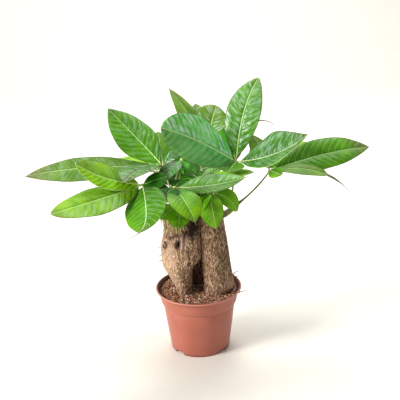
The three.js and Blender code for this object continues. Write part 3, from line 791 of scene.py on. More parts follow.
T = Tone
# Each leaflet's lit pair paints light and shade on its right and left half.
LEAVES = {
    "leaf_left_front": CompoundLeaf("left", 0.55, (-47, -27, 240), (-67, -45, 257), (
        Leaflet(222, -3, 127, 48, T.BRIGHT, droop=4, bend=-19, roll=-27, twist=6, skew=0.11,
                pointing=0.67, painted_sheen=(0.0, 0.12), lit=(1.05, 0.88)),
        Leaflet(198, 14, 92, 40, T.BRIGHT, droop=-29, bend=-3, roll=-36, skew=-0.08, pointing=0.62,
                painted_sheen=(0.14, 0.0), lit=(1.2, 1.5), light=1),
        Leaflet(280, -17, 110, 55, T.FRESH, droop=6, bend=-10, hook=-114, roll=21, tail=0.14,
                pointing=0.52, taper=1.6, painted_sheen=(0.02, 0.1), lit=(1.05, 0.7), light=-1, dry=0.8),
        Leaflet(8, 18, 34, 28, T.DEEP_SHADE, droop=5, roll=24, twist=10, skew=-0.15),
        Leaflet(343, -10, 37, 26, T.DEEP_SHADE, droop=6, roll=15, pointing=0.55),
    )),
    "leaf_left_upper": CompoundLeaf("left", 0.74, (-38, 7, 247), (-42, 14, 263), (
        Leaflet(145, 40, 110, 63, T.MID, droop=-5, bend=15, roll=-31, twist=22, skew=0.06, pointing=0.87,
                painted_sheen=(0.22, 0.14), lit=(1.0, 1.4)),
        Leaflet(189, 5, 190, 39, T.DULL, droop=19, bend=-20, roll=-36, twist=-6, skew=0.1, pointing=1.0,
                quilt=0.5, dry=0.6, lit=(0.94, 0.94), painted_sheen=(0.12, 0.12)),
        Leaflet(235, 16, 105, 47, T.SILVER, droop=27, bend=19, roll=10, twist=-15, fold=0.3, pointing=0.8,
                quilt=0.6, painted_sheen=(0.22, 0.22), lit=(0.66, 0.54)),
        Leaflet(97, 35, 65, 29, T.BACKLIT, droop=8, roll=10, twist=-3, lit=(1.25, 1.4)),
        Leaflet(0, 49, 46, 30, T.BLUISH, droop=24, roll=19, painted_sheen=(0.6, 0.6), lit=(0.3, 0.58)),
    )),
    "leaf_right_upper": CompoundLeaf("right", 0.6, (50, -11, 240), (55, -15, 274), (
        Leaflet(202, 36, 120, 66, T.COOL, droop=15, bend=5, roll=-44, twist=-28, pointing=0.6, quilt=1.2,
                painted_sheen=(0.85, 0.08), lit=(1.75, 1.0), dry=0.05),
        Leaflet(60, 78, 117, 47, T.GLOSSY, droop=38, bend=-17, roll=13, twist=5, pointing=0.83, quilt=1.6,
                painted_sheen=(0.25, 0.35), lit=(1.15, 1.15)),
        Leaflet(324, 12, 109, 62, T.SATIN, droop=-32, bend=20, roll=36, twist=-13, fold=0.5, pointing=1.1,
                quilt=1.0, painted_sheen=(0.1, 0.25), lit=(0.93, 1.06), light=-1),
        Leaflet(150, 10, 37, 30, T.MID, droop=40),
        Leaflet(245, -5, 29, 34, T.FRESH, droop=20, pointing=0.6),
        Leaflet(108, 45, 56, 32, T.DEEP_SHADE, droop=10, roll=2, skew=-0.06, pointing=0.7, lit=(1.5, 1.5)),
        Leaflet(69, 74, 96, 7, T.DRY, droop=116, bend=-57, quilt=0, ruffle=0),
    ), age=0.4),
    "leaf_right": CompoundLeaf("right", 0.95, (82, -19, 237), (99, -14, 260), (
        Leaflet(6, 16, 136, 49, T.MID, droop=15, roll=42, twist=-8, skew=0.04, pointing=0.86,
                painted_sheen=(0.03, 0.02), lit=(1.12, 0.92), dry=0.7),
        Leaflet(344, 12, 113, 34, T.GREY, droop=64, bend=4, roll=5, twist=19, skew=0.08, tail=0.33,
                pointing=0.6, taper=3.2, quilt=0.5, lit=(1.25, 1.0), dry=1.0),
        Leaflet(298, 6, 25, 21, T.LIME, droop=13, bend=8, roll=28, twist=7, lit=(1.2, 1.3)),
        Leaflet(103, 35, 68, 35, T.BACKLIT, droop=12, bend=7, roll=7, twist=10, pointing=0.65,
                lit=(0.7, 0.7)),
        Leaflet(31, 22, 60, 33, T.MID, droop=15, roll=20, lit=(2.2, 2.2)),
    ), age=0.6),
    "leaf_front": CompoundLeaf("left", 0.38, (-26, -38, 234), (-26, -55, 255), (
        Leaflet(358, 0, 97, 36, T.SILVER, droop=-20, roll=35, twist=-22, skew=0.15, tail=0.05,
                pointing=0.95, painted_sheen=(0.04, 0.25), lit=(0.7, 1.2)),
        Leaflet(285, 0, 74, 43, T.LIME, droop=60, bend=19, twist=-3, tail=0.04, pointing=0.9, quilt=0.5,
                lit=(0.84, 0.9)),
        Leaflet(245, 6, 36, 30, T.DEEP_SHADE, droop=45, lit=(0.4, 0.42)),
        Leaflet(70, 12, 22, 22, T.DEEP_SHADE, droop=5, lit=(0.5, 0.5)),
    )),
    "leaf_low_right": CompoundLeaf("middle", 0.95, (20, -34, 242), (22, -45, 244), (
        Leaflet(260, -16, 59, 31, T.LOW, droop=46, bend=28, roll=8, twist=5, skew=-0.1, pointing=0.75,
                painted_sheen=(0.12, 0.06), lit=(1.35, 1.02)),
        Leaflet(352, -15, 43, 36, T.LOW, droop=61, bend=-2, roll=24, twist=-12, skew=0.05, pointing=0.6,
                lit=(1.4, 1.4)),
        Leaflet(225, -16, 50, 26, T.LOW, droop=40, lit=(3.0, 3.0)),
    )),
    "leaf_middle": CompoundLeaf("middle", 0.75, (12, -18, 240), (6, -16, 252), (
        Leaflet(343, 14, 75, 28, T.LOW, droop=8, roll=10, lit=(1.1, 2.2), dry=0.7),
        Leaflet(272, 0, 42, 34, T.DEEP_SHADE, droop=35),
        Leaflet(20, 20, 32, 20, T.SILVER, droop=5, roll=20, lit=(2.2, 2.3), painted_sheen=(0.5, 0.5)),
        Leaflet(120, 15, 45, 30, T.DEEP_SHADE, droop=30),
    )),
    "leaf_young": CompoundLeaf("left", 1.0, (-22, -12, 262), (-16, -10, 278), (
        Leaflet(232, -8, 46, 29, T.BLUISH, droop=42, painted_sheen=(0.0, 0.15), lit=(0.3, 0.64)),
        Leaflet(275, -10, 28, 20, T.DEEP_SHADE, droop=40, lit=(3.5, 1.4)),
        Leaflet(60, 5, 22, 18, T.MID, droop=20),
        Leaflet(310, -17, 34, 22, T.DEEP_SHADE, droop=20, lit=(0.7, 0.7)),
    )),
    "leaf_low_left": CompoundLeaf("left", 0.2, (-24, -40, 228), (-20, -60, 234), (
        Leaflet(221, -8, 34, 34, T.LOW, droop=30, roll=-8, pointing=0.7, lit=(1.6, 1.5)),
        Leaflet(265, -30, 34, 30, T.LOW, droop=40, lit=(1.2, 1.1)),
    )),
    "leaf_back_upper": CompoundLeaf("back", 0.98, (12, 36, 266), (18, 40, 276), (
        Leaflet(133, 57, 103, 50, T.OLIVE, droop=17, bend=10, roll=3, twist=14, skew=0.04, pointing=1.0,
                quilt=0.4, lit=(1.0, 1.32), dry=0.5),
        Leaflet(66, 65, 69, 50, T.OLIVE, droop=34, bend=3, roll=14, twist=13, skew=0.03, pointing=0.6,
                quilt=0.3, painted_sheen=(0.45, 0.45), lit=(0.98, 1.05)),
        Leaflet(103, 47, 78, 34, T.SILVER, droop=10, lit=(2.0, 1.0), painted_sheen=(0.5, 0.2)),
    )),
    "leaf_centre": CompoundLeaf("back", 0.45, (-10, 24, 238), (-20, 17, 244), (
        Leaflet(175, 6, 27, 26, T.DEEP_SHADE, droop=12, roll=-35, lit=(0.35, 0.35)),
        Leaflet(350, 0, 36, 34, T.DEEP_SHADE, droop=12, roll=35, lit=(3.0, 2.2)),
        Leaflet(203, -54, 38, 24, T.DEEP_SHADE, droop=8),
        Leaflet(87, 55, 36, 32, T.DEEP_SHADE, droop=10),
        Leaflet(300, -25, 40, 26, T.DEEP_SHADE, droop=10),
    )),
    "leaf_rear_left": CompoundLeaf("back", 0.85, (-30, 36, 240), (-52, 42, 246), (
        Leaflet(168, 10, 135, 42, T.MID, droop=30, roll=-15),
        Leaflet(132, 12, 116, 44, T.BRIGHT, droop=40),
        Leaflet(92, 15, 90, 38, T.FRESH, droop=45, roll=10),
    )),
    "leaf_rear_middle": CompoundLeaf("back", 0.75, (4, 50, 240), (6, 66, 240), (
        Leaflet(112, 15, 77, 36, T.FRESH, droop=50),
        Leaflet(70, 15, 68, 36, T.MID, droop=45),
        Leaflet(20, 10, 60, 30, T.MID, droop=40, roll=15),
        Leaflet(180, 0, 64, 36, T.DEEP_SHADE, droop=25, roll=-35),
    )),
    "leaf_rear_right": CompoundLeaf("back", 0.9, (45, 44, 250), (76, 52, 254), (
        Leaflet(18, 12, 118, 42, T.BRIGHT, droop=25, roll=20),
        Leaflet(52, 14, 100, 42, T.MID, droop=40, roll=8),
    )),
}


@dataclass(frozen=True)
class Mark:
    """A knot, hole, swelling or stain on a stump, an ellipse on its bark.

    `angle` goes round the stump from +X, `across` and `up` are its radii, `depth` is how far its middle
    stands out, and `rim` how far its edge does. `ring` is how dark a circle of pits round it is, and the
    others are shares of each colour. The dark colour is scars in some marks and painted shade in others,
    and the pale colour is partly painted light.
    """

    angle: float
    height: float
    across: float
    up: float
    depth: float = 0.0
    rim: float = 0.0
    scar_and_shade: float = 0.0
    ring: float = 0.0
    pink: float = 0.0
    moss: float = 0.0
    pale: float = 0.0


@dataclass(frozen=True)
class Stump:
    """A cut stump: levels of height with where its left, right, front and back faces stand there.

    WAVES are the strength, the number round the stump and the height of each kind of bark relief, and
    CUT_RINGS the share of the outline and of the rim's rise of each ring of the sawn top.
    """

    levels: tuple[tuple[float, ...], ...]
    marks: tuple[Mark, ...]
    tone: Colour
    seed: int
    rough: float = 1.0

    AROUND = 180
    FROM = 78.0
    STEP = 0.8
    CUT_RIM = 1.6
    WAVES = ((0.55, 34, 13.0), (0.35, 80, 5.0), (0.9, 9, 22.0), (0.3, 15, 1.9))
    CUT_RINGS = (
        (0.985, 0.45), (0.95, 0.8), (0.9, 0.98), (0.8, 1.0), (0.6, 0.95), (0.4, 0.9), (0.15, 0.85))

    def faces(self, height: np.ndarray) -> list[np.ndarray]:
        """Left, right, front and back face at each height, as a running mean of 7 steps."""
        table = np.array(self.levels)
        below = height[0] - self.STEP * np.arange(3, 0, -1)
        above = height[-1] + self.STEP * np.arange(1, 4)
        padded = np.concatenate([below, height, above])
        wide = [np.interp(padded, table[:, 0], table[:, k]) for k in range(1, 5)]
        return [np.convolve(face, np.ones(7) / 7, mode="valid")[:, None] for face in wide]

    def build(self, name: str, finishes: Finishes) -> bpy.types.Object:
        """Makes the stump in place of its solid.

        The outline at each height is an ellipse between the four faces, with shallow flutes. Its bark stands
        out by upright noise, coarse and fine, and by each mark's bump and ring.
        """
        top = self.levels[-1][0]
        height = np.arange(self.FROM, top - self.CUT_RIM + 0.01, self.STEP)
        left, right, front, back = self.faces(height)
        angle = np.linspace(-np.pi, np.pi, self.AROUND, endpoint=False)[None, :]
        z = height[:, None]
        centre_x, centre_y = (left + right) / 2, (front + back) / 2
        reach_x, reach_y = (right - left) / 2, (back - front) / 2
        flute = 1 - 0.022 * (1 + np.sin(5 * angle + z / 19)) * np.abs(np.sin(angle))

        turn = (angle + np.pi) / TURN
        bark = sum(strength * noise(turn * around, z / tall, self.seed + k, around)
                   for k, (strength, around, tall) in enumerate(self.WAVES))
        out = self.rough * (bark - 0.5)
        stains = {key: np.zeros((len(height), self.AROUND)) for key in ("scar_and_shade", "pink", "moss", "pale")}
        for mark in self.marks:
            spot = np.radians(mark.angle)
            turned = np.angle(np.exp(1j * (angle - spot)))
            local = np.hypot(reach_x * np.sin(spot), reach_y * np.cos(spot))
            distance = np.hypot(turned * local / mark.across, (z - mark.height) / mark.up)
            out = out + mark.depth * swell(distance) + mark.rim * swell((distance - 1.1) / 0.35)
            ragged = distance + 0.25 * noise(turn * 60, z / 3, self.seed + 4, 60)
            for key, grid in stains.items():
                grid += getattr(mark, key) * np.clip(1.6 - ragged, 0, 1)
            pits = 0.5 + 0.9 * noise(turn * 90, z / 1.4, self.seed + 5, 90)
            stains["scar_and_shade"] += mark.ring * swell((distance - 1.2) / 0.4) * np.clip(pits, 0, 1)

        x = centre_x + reach_x * np.cos(angle) * flute + out * np.cos(angle)
        y = centre_y + reach_y * np.sin(angle) * flute + out * np.sin(angle)
        side = np.stack([x, y, z + 0 * x], axis=-1)
        rings = np.concatenate([side, self.cut(side[-1], top)])
        extra = len(rings) - len(side)
        values = {}
        for key, grid in stains.items():
            values[key] = np.clip(np.pad(grid, ((0, extra), (0, 0)), mode="edge"), 0, 1)
        values["pale"][-extra:] = 0.8
        values["tone"] = painted(self.tone, rings.shape[:2])
        piece = make_piece(f"bark_{name}", [tube(rings, values)], [finishes.bark])
        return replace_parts(piece, name)

    def cut(self, last: np.ndarray, top: float) -> np.ndarray:
        """Rings of the sawn top: a rounded rim, then rings drawn in to the middle with shallow saw marks."""
        middle = last.mean(0)
        rings = []
        for share, rise in self.CUT_RINGS:
            ring = middle + (last - middle) * share
            ring[:, 2] = last[:, 2] + rise * self.CUT_RIM + 0.15 * np.sin(ring[:, 0] * 1.7)
            ring[:, 2] = np.minimum(ring[:, 2], top)
            rings.append(ring)
        return np.array(rings)


STUMPS = {
    "stump_left": Stump(
        levels=(
            (62, -30, -9, -22, 6), (86, -31.4, -8.2, -22, 7), (97, -33, -8, -24, 9),
            (106, -37.5, -8, -26, 12), (114, -41, -7.8, -28, 14), (124, -47, -6.5, -30, 16),
            (130, -49, -1.5, -31, 17), (135, -49.8, 4.6, -32, 17), (144, -50.3, 7, -32, 17),
            (157, -50.2, 7.2, -31, 16), (164, -49, 7.2, -31, 15), (169, -47, 7, -30, 14),
            (174, -45.5, 7, -29, 13), (185, -44, 6.8, -28, 12), (196, -45, 6.5, -27, 11),
            (205, -45.5, 6, -26, 10)),
        marks=(
            Mark(-156, 198, 3.2, 3.2, depth=-2.6, rim=1.0, scar_and_shade=0.9),
            Mark(-145, 162, 3.4, 3.6, depth=-1.0, rim=1.8, scar_and_shade=0.35, ring=1.6),
            Mark(-101, 164, 3.0, 5.4, depth=-6.5, scar_and_shade=1.0),
            Mark(-89, 167, 2.2, 8.5, depth=1.5, pink=1.0),
            Mark(-84, 178, 1.8, 12.0, depth=-2.0, scar_and_shade=0.4),
            # painted shade: the recessed top right of the stump, which lies in shadow
            Mark(-55, 180, 9.5, 9.0, depth=-2.0, scar_and_shade=0.8),
            Mark(-46, 195, 11.0, 12.0, depth=-3.0, scar_and_shade=0.9),
            Mark(-66, 150, 1.6, 12.0, depth=-1.2, scar_and_shade=0.45),
            Mark(-80, 172, 6.0, 6.0, pink=0.45),
            # pale patches on the lit left side: partly painted light
            Mark(-128, 128, 12.0, 26.0, pale=0.75),
            Mark(-120, 152, 6.0, 14.0, pale=0.8, pink=0.3),
            Mark(-165, 140, 12.0, 24.0, pale=0.8),
            Mark(-122, 186, 24.0, 15.0, scar_and_shade=0.35),
            Mark(-76, 92, 8.0, 5.0, depth=0.8, scar_and_shade=0.25),
        ),
        tone=srgb(250, 238, 232), seed=21),
    "stump_right": Stump(
        levels=(
            (62, 7, 40, -24, 8), (86, 6, 42, -25, 9), (92, 5.8, 48, -27, 12), (98, 5.6, 49.5, -28, 14),
            (108, 5.4, 48.7, -29, 16), (122, 5, 46.5, -30, 17), (140, 4.6, 43.8, -31, 17),
            (161, 4.6, 41.8, -30, 16), (178, 4.6, 39.6, -29, 15), (192, 4.8, 37.5, -28, 14),
            (206, 5, 37.5, -26, 12)),
        marks=(
            Mark(-62, 134, 8.0, 13.0, moss=0.6),
            # painted shade: the right side, turned from the light
            Mark(-18, 146, 8.0, 42.0, scar_and_shade=0.42),
            Mark(-16, 194, 5.0, 12.0, pink=0.6),
            Mark(-4, 200, 4.0, 3.6, depth=4.0, pink=0.35),
            Mark(-28, 98, 10.0, 9.0, depth=1.2, pale=1.0),
            Mark(-100, 98, 9.0, 8.0, depth=0.9, pale=0.35),
            Mark(-60, 178, 9.0, 14.0, scar_and_shade=0.12),
        ),
        tone=srgb(228, 214, 208), seed=33),
    # painted shade of the gap between the front stumps: the dark front-top mark, and partly its darker tone
    "stump_back": Stump(
        levels=(
            (62, -18, 16, 12, 34), (86, -19, 17, 11, 36), (105, -21, 19, 9, 39), (130, -22, 20, 7, 41),
            (160, -21, 19, 5, 40), (185, -20, 17, 3, 38), (210, -19, 16, 2, 36)),
        marks=(
            Mark(-96, 178, 14.0, 16.0, scar_and_shade=0.45),
            Mark(95, 150, 5.0, 6.0, depth=-2.0, rim=1.5, scar_and_shade=0.6),
        ),
        tone=srgb(176, 150, 150), seed=47, rough=1.3),
}


@dataclass(frozen=True)
class Shoots:
    """Young stems out of the cut tops, with leaf scars round them and rounded ends."""

    SIDES: int = 20
    COUNT: int = 60

    def build(self, finishes: Finishes) -> list[bpy.types.Object]:
        """Makes each shoot in place of its solid: a tapering rod with rings and a rounded end."""
        pieces = []
        for seed, (name, (start, middle, end, foot, tip)) in enumerate(SHOOTS.items()):
            s = np.linspace(0, 1, self.COUNT)
            line = bezier(start, middle, end, self.COUNT)
            radius = (foot + (tip - foot) * s) * np.sqrt(np.clip((1.02 - s) / 0.12, 0, 1))
            radius = radius * (1 + 0.09 * swell(((s * 5) % 1 - 0.5) / 0.12))
            rings = rod(line, radius, self.SIDES)
            turn = np.arange(self.SIDES)[None, :]
            centre = line[:, None]
            waves = 1 + 0.05 * noise(turn, s[:, None] * 12, seed + 70, self.SIDES)
            rings = centre + (rings - centre) * waves[..., None]
            age = np.broadcast_to(np.clip(1.0 - 0.7 * s, 0, 1)[:, None], rings.shape[:2])
            piece = make_piece(f"young_{name}", [tube(rings, {"age": age})], [finishes.stalk])
            pieces.append(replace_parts(piece, f"shoot_{name}"))
        return pieces


@dataclass(frozen=True)
class Pot:
    """Nursery pot: one moulded shell with a lip, a collar, a step and four feet."""

    outer: tuple[tuple[float, float], ...] = (
        (41.5, 0), (42.1, 5), (50.0, 65.0), (49.85, 65.6), (49.95, 66.4), (50.3, 67.2), (50.6, 69.5),
        (51.4, 70.3), (53, 71), (53.3, 72.4), (56.6, 87.5), (57.3, 88.1), (59.2, 88.3), (60, 89.2),
        (60, 90.2), (59.4, 91))
    inner: tuple[tuple[float, float], ...] = (
        (57.9, 91), (56.6, 89.4), (54.9, 86.5), (51.4, 71.6), (49, 69.4), (40.4, 4.8))
    under: tuple[tuple[float, float], ...] = ((8, 3.2), (24, 3.2), (39.2, 3.2), (39.6, 2.8), (39.6, 0))
    floor: tuple[tuple[float, float], ...] = ((39.0, 4.8), (24, 4.8), (8, 4.8))
    floor_under: float = 3.2
    notches: int = 4
    notch_angle: float = 20.0
    facets: int = 240
    tall: float = 91.0
    oval: float = 0.0012

    def angles(self) -> np.ndarray:
        """Angles round the pot, with two close together at each side of each notch."""
        sides = np.radians([45 + 90 * k + s * self.notch_angle / 2 + e for k in range(self.notches)
                            for s in (-1, 1) for e in (-0.12, 0.12)])
        even = np.linspace(0, TURN, self.facets, endpoint=False)
        return np.sort(np.concatenate([even, sides]))

    def build(self, finishes: Finishes) -> bpy.types.Object:
        """Carries the wall's profile round the axis; in a notch, what is below the floor lifts to it."""
        close = [self.refined(self.outer), self.refined(self.inner)]
        profile = np.array([*self.under, *close[0], *close[1], *self.floor])
        outside, within = len(self.under) + len(close[0]), len(close[1]) + len(self.floor)
        # 1 on the inner wall, which gets painted shade, and 0 outside
        inside = np.repeat([0.0, 1.0], [outside, within])
        angle = self.angles()[None, :]
        radius, height = profile[:, :1], profile[:, 1:]
        from_notch = np.abs((np.degrees(angle) % (360 / self.notches)) - 180 / self.notches)
        notched = from_notch < self.notch_angle / 2
        lifted = np.where(notched & (height < self.floor_under), self.floor_under, height)
        warp = 1 + self.oval * np.sin(2 * angle + 0.6) * np.clip(height / self.tall, 0, 1)
        rings = np.stack([radius * warp * np.cos(angle), radius * warp * np.sin(angle), lifted], axis=-1)
        # painted highlights: along the top of the lip and on the step at 70.8 mm
        lip = np.clip((height - 88.0) / 2.0, 0, 1) * (1 - inside[:, None])
        same = np.ones_like(rings[..., 0])
        values = {"inside": inside[:, None] * same, "painted_highlight": (lip + 0.6 * swell((height - 70.8) / 0.9)) * same}
        piece = make_piece("pot_shell", [tube(rings, values)], [finishes.clay])
        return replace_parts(piece, "pot")

    def refined(self, points: tuple[tuple[float, float], ...]) -> np.ndarray:
        """The points with others between them, no more than 4 mm apart, so that the wall shades evenly."""
        line = np.array(points)
        gaps = np.linalg.norm(np.diff(line, axis=0), axis=1)
        along = np.concatenate([[0], np.cumsum(gaps)])
        spans = zip(along[:-1], along[1:], gaps)
        extra = [np.linspace(a, b, max(int(g // 4), 1), endpoint=False) for a, b, g in spans]
        at = np.concatenate([*extra, along[-1:]])
        return np.stack([np.interp(at, along, line[:, k]) for k in range(2)], axis=1)


@dataclass
class Peat:
    """Peat fill: a bed with loose crumbs, white grit and coir fibres on it."""

    level: float = 86.0
    bottom: float = 5.2
    bump: float = 1.1
    reach: float = 54.2
    crumbs: int = 3600
    grit: int = 16
    fibres: int = 90
    random: np.random.Generator = field(default_factory=lambda: np.random.default_rng(5))

    TONES = (
        srgb(132, 80, 58), srgb(182, 124, 92), srgb(224, 174, 138), srgb(248, 220, 192), srgb(38, 21, 15))
    SHARES = (0.21, 0.22, 0.22, 0.17, 0.18)
    FACES = (
        (0, 11, 5), (0, 5, 1), (0, 1, 7), (0, 7, 10), (0, 10, 11), (1, 5, 9), (5, 11, 4), (11, 10, 2),
        (10, 7, 6), (7, 1, 8), (3, 9, 4), (3, 4, 2), (3, 2, 6), (3, 6, 8), (3, 8, 9), (4, 9, 5),
        (2, 4, 11), (6, 2, 10), (8, 6, 7), (9, 8, 1))

    def height(self, x: np.ndarray, y: np.ndarray) -> np.ndarray:
        """Height of the bed: its level, long swells and small lumps."""
        swells = self.bump * np.sin(x / 7 + 1) * np.cos(y / 6 - x / 23)
        return self.level + swells + 0.5 * noise(x / 2.4 + 60, y / 2.4 + 60, 81) - 0.3

    def bed(self) -> Surface:
        """The fill: it follows the wall up to its uneven top."""
        angle = np.linspace(0, TURN, 160, endpoint=False)[None, :]
        side = np.array([(36.0, self.bottom), (39.9, 5.6), (48.4, 69.0), (50.9, 71.6), (self.reach, 85.0)])
        top = np.concatenate([[self.reach - 0.6], np.linspace(53, 1, 46)])
        rings = [np.stack([r * np.cos(angle), r * np.sin(angle), z + 0 * angle], -1)[0] for r, z in side]
        for r in top:
            x, y = r * np.cos(angle), r * np.sin(angle)
            rings.append(np.stack([x, y, self.height(x, y)], -1)[0])
        grid = np.array(rings)
        patch = noise(grid[..., 0] / 3 + 40, grid[..., 1] / 3 + 40, 82)[..., None]
        tone = np.array(self.TONES[0]) * (1 + 0.5 * patch)
        return tube(grid, {"tone": tone})

    def chunks(self, centres: np.ndarray, sizes: np.ndarray, tones: np.ndarray, slot: int) -> Surface:
        """Many small lumps: icosahedra with corners pulled in or out at random, each turned its own way.

        The corners are (±1, ± golden ratio, 0) and the same moved on by one and by two axes.
        """
        golden = (1 + 5**0.5) / 2
        corners = np.array([np.roll((a, b * golden, 0), k)
                            for k in range(3) for b in (1, -1) for a in (-1, 1)])
        count = len(centres)
        shape = corners / np.linalg.norm(corners[0])
        pulled = shape * self.random.uniform(0.65, 1.25, (count, 12, 1))
        lumps = pulled * self.random.uniform(0.55, 1.4, (count, 1, 3))
        turn, _ = np.linalg.qr(self.random.normal(size=(count, 3, 3)))
        turn = turn * np.linalg.det(turn)[:, None, None]
        points = np.einsum("nij,nkj->nki", turn, lumps) * sizes[:, None, None] + centres[:, None]
        triangles = (np.array(self.FACES) + 12 * np.arange(count)[:, None, None]).reshape(-1, 3)
        none = np.zeros((0, 4), int)
        return Surface(points.reshape(-1, 3), none, triangles, {"tone": np.repeat(tones, 12, axis=0)}, slot)

    def scatter(self, count: int, rim: float = 53.4) -> np.ndarray:
        """Random spots on the bed, evenly over its area and clear of the stumps' feet."""
        radius = rim * np.sqrt(self.random.uniform(0, 1, 3 * count))
        angle = self.random.uniform(0, TURN, 3 * count)
        x, y = radius * np.cos(angle), radius * np.sin(angle)
        clear = np.ones(len(x), bool)
        for stump in STUMPS.values():
            _, left, right, front, back = stump.levels[1]
            across = (x - (left + right) / 2) / ((right - left) / 2 - 1)
            along = (y - (front + back) / 2) / ((back - front) / 2 - 1)
            clear &= np.hypot(across, along) > 1
        x, y = x[clear][:count], y[clear][:count]
        return np.stack([x, y, self.height(x, y)], axis=1)

    def strands(self) -> list[Surface]:
        """Coir fibres that lie on the bed in shallow bows."""
        spots = self.scatter(self.fibres, 47.0)
        ways = self.random.uniform(0, TURN, len(spots))
        lengths = self.random.uniform(5, 15, len(spots))
        bows = self.random.uniform(-0.35, 0.35, len(spots))
        made = []
        for spot, way, length, bow in zip(spots, ways, lengths, bows):
            ahead = np.array((np.cos(way), np.sin(way), 0.0))
            beside = np.array((-np.sin(way), np.cos(way), 0.0))
            middle = spot + ahead * length / 2 + beside * bow * length + (0, 0, 1.6)
            line = bezier(spot, middle, spot + ahead * length, 9)
            line[:, 2] += 0.35
            rings = rod(line, 0.16, 5)
            made.append(tube(rings, {"tone": painted(srgb(176, 134, 100), rings.shape[:2])}))
        return made

    def build(self, finishes: Finishes) -> bpy.types.Object:
        """Makes the fill, its crumbs, grit and fibres in place of its solid."""
        spots = self.scatter(self.crumbs)
        sizes = np.clip(self.random.lognormal(-0.45, 0.4, len(spots)), 0.3, 1.5)
        tones = np.array(self.TONES)[self.random.choice(len(self.TONES), len(spots), p=self.SHARES)]
        crumbs = self.chunks(spots + (0, 0, 0.25), sizes, tones, 0)
        shown = np.array([(-34.8, 1.1), (-17.0, -25.0), (-15.6, -33.5), (49.4, -9.3), (-24.0, -36.5)])
        shown = np.column_stack([shown, self.height(shown[:, 0], shown[:, 1])])
        grit_spots = np.concatenate([shown, self.scatter(self.grit)])
        loose = self.random.uniform(0.5, 1.0, len(grit_spots) - len(shown))
        grit_sizes = np.concatenate([np.full(len(shown), 1.5), loose])
        white = self.chunks(grit_spots + (0, 0, 0.7), grit_sizes, np.ones((len(grit_spots), 4)), 1)
        surfaces = [self.bed(), crumbs, white, *self.strands()]
        piece = make_piece("peat_bed", surfaces, [finishes.peat, finishes.grit])
        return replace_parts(piece, "soil")


@dataclass(frozen=True)
class Wisps:
    """Small dry things: hairs beside the two front stumps and withered stalks on the left one's top."""

    HAIRS = (
        ((46, 8, 92), (49, 10, 106), (57, 9, 106), 1.0),
        ((46, 4, 94), (51, 6, 102), (56, 6, 99), 0.85),
        ((52, -24, 88.5), (57, -30, 93.5), (64, -31, 95.5), 1.0),
        ((-49.6, -9, 155), (-52, -9, 155.4), (-54.4, -9, 154.0), 0.75),
        ((-49.6, -9, 142), (-51.6, -9, 142.6), (-54, -9, 141.2), 0.8),
        ((-49, -9, 135), (-51, -9, 135.2), (-53.4, -9, 133.0), 0.75),
    )
    STRANDS = 46

    def strands(self) -> list[tuple[Any, ...]]:
        """Dry strands that hang over the front rim of the left stump, close to its bark.

        At an angle a round the stump its rim is at (-20 + 25.5 cos a, -8 + 19 sin a); each strand starts
        just inside it, passes over it and ends further down.
        """
        draw = np.random.default_rng(64)
        made = []
        for angle in np.radians(draw.uniform(-158, -84, self.STRANDS)):
            rim = np.array((-20 + 25.5 * np.cos(angle), -8 + 19 * np.sin(angle), 205.0))
            out = np.array((np.cos(angle), np.sin(angle), 0.0))
            lean = np.array((draw.uniform(-4, 4), 0.0, 0.0))
            fall = np.array((0.0, 0.0, draw.uniform(8, 24)))
            end = rim + out * 1.6 + lean - fall
            middle = rim + out * draw.uniform(2.5, 4.5) + lean / 2
            made.append((rim - out * 3, middle, end, draw.uniform(0.5, 0.8)))
        return made

    def build(self, finishes: Finishes) -> list[bpy.types.Object]:
        """Makes the hairs as one piece and the dry strands as another, each a thin tapering rod."""
        pieces = []
        for name, table, age in (("root_hairs", self.HAIRS, 1.0), ("dry_strands", self.strands(), 0.25)):
            surfaces = []
            for start, middle, end, radius in table:
                line = bezier(start, middle, end, 18)
                rings = rod(line, radius * np.linspace(1, 0.45, 18), 7)
                same = np.ones(rings.shape[:2])
                surfaces.append(tube(rings, {"age": age * same, "dry": (1 - age) * same}))
            pieces.append(make_piece(name, surfaces, [finishes.stalk]))
        return pieces


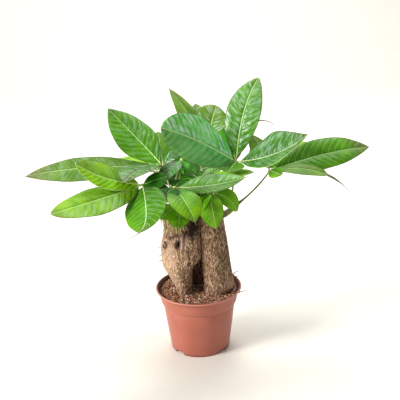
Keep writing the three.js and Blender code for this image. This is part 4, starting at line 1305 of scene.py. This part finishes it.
@dataclass(frozen=True)
class Studio:
    """Camera at the picture's viewing angle, a pale floor and soft white light."""

    eye: Spot = (0.0, -943.734, 551.290)
    pitch: float = 19.4587
    yaw: float = 0.37377
    roll: float = 2.0
    focal: float = 742.0
    frame_width: float = 400.0
    sensor: float = 36.0
    aim: Spot = (0.0, 0.0, 0.22)
    sky_strength: float = 0.43
    floor_colour: Colour = srgb(226, 222, 214)

    def camera(self) -> None:
        """Looks along yaw and pitch, turned by the roll about its own view line."""
        yaw, pitch, roll = np.radians([self.yaw, self.pitch, self.roll])
        ahead = Vector((np.sin(yaw) * np.cos(pitch), np.cos(yaw) * np.cos(pitch), -np.sin(pitch)))
        right = Vector((np.cos(yaw), -np.sin(yaw), 0))
        above = right.cross(ahead)
        turned_right = right * np.cos(roll) - above * np.sin(roll)
        turned_above = right * np.sin(roll) + above * np.cos(roll)
        camera = bpy.data.cameras.new("camera")
        camera.sensor_width = self.sensor
        camera.lens = self.focal / self.frame_width * self.sensor
        holder = bpy.data.objects.new("camera", camera)
        turn = Matrix((turned_right, turned_above, -ahead)).transposed().to_4x4()
        holder.matrix_world = Matrix.Translation(Vector(self.eye) * MM) @ turn
        bpy.context.scene.collection.objects.link(holder)
        bpy.context.scene.camera = holder

    def lamp(self, name: str, spot: Spot, size: float, power: float, colour: Colour,
             aim: Spot | None = None) -> None:
        """A square soft light at a spot, turned to another, or else to the middle of the plant."""
        light = bpy.data.lights.new(name, "AREA")
        light.size = size
        light.energy = power
        light.color = colour[:3]
        holder = bpy.data.objects.new(name, light)
        holder.location = spot
        holder.rotation_euler = (Vector(aim or self.aim) - Vector(spot)).to_track_quat("-Z", "Y").to_euler()
        bpy.context.scene.collection.objects.link(holder)

    def backdrop(self) -> None:
        """A pale floor that curves up into a wall: past the bend, z rises with y by a quarter circle."""
        near, bend, radius, tall, half = -3.0, 1.8, 0.8, 3.2, 4.0
        turn = np.linspace(0, np.pi / 2, 24)
        depth = np.concatenate([[near], bend + radius * np.sin(turn), [bend + radius]])
        rise = np.concatenate([[0.0], radius * (1 - np.cos(turn)), [tall]])
        points = [(x, y, z) for y, z in zip(depth, rise) for x in (-half, half)]
        faces = [(2 * i, 2 * i + 1, 2 * i + 3, 2 * i + 2) for i in range(len(depth) - 1)]
        mesh = bpy.data.meshes.new("backdrop")
        mesh.from_pydata(points, [], faces)
        material = bpy.data.materials.new("pale_backdrop")
        material.use_nodes = True
        shader = material.node_tree.nodes["Principled BSDF"]
        shader.inputs["Base Color"].default_value = self.floor_colour
        shader.inputs["Roughness"].default_value = 0.7
        mesh.materials.append(material)
        backdrop = bpy.data.objects.new("backdrop", mesh)
        bpy.context.scene.collection.objects.link(backdrop)

    def build(self) -> None:
        """Sets the camera, the backdrop, the sky and the lamps."""
        self.camera()
        self.backdrop()
        world = bpy.data.worlds.new("white_room")
        world.use_nodes = True
        sky = world.node_tree.nodes["Background"]
        sky.inputs["Color"].default_value = (1.0, 1.0, 1.0, 1.0)
        sky.inputs["Strength"].default_value = self.sky_strength
        bpy.context.scene.world = world
        bpy.context.scene.view_settings.view_transform = "Standard"
        self.lamp("key", (-1.5, -0.75, 1.05), 0.6, 46.0, (1.0, 0.98, 0.95, 1.0))
        self.lamp("top", (0.1, 0.9, 1.5), 0.9, 16.0, (0.96, 0.98, 1.0, 1.0))
        self.lamp("wall", (0.0, 0.6, 2.4), 1.2, 56.0, (1.0, 1.0, 1.0, 1.0), (0.0, 2.6, 0.8))


def main() -> None:
    """Builds the studio, then the plant from its pot up."""
    logging.basicConfig(level=logging.INFO, format="%(name)s %(message)s")
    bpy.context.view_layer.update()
    Studio().build()
    finishes = Finishes()
    Pot().build(finishes)
    Peat().build(finishes)
    for name, stump in STUMPS.items():
        stump.build(name, finishes)
    Shoots().build(finishes)
    Wisps().build(finishes)
    for seed, (name, leaf) in enumerate(LEAVES.items()):
        leaf.build(name, finishes, 100 + 97 * seed)


if __name__ == "__main__":
    main()
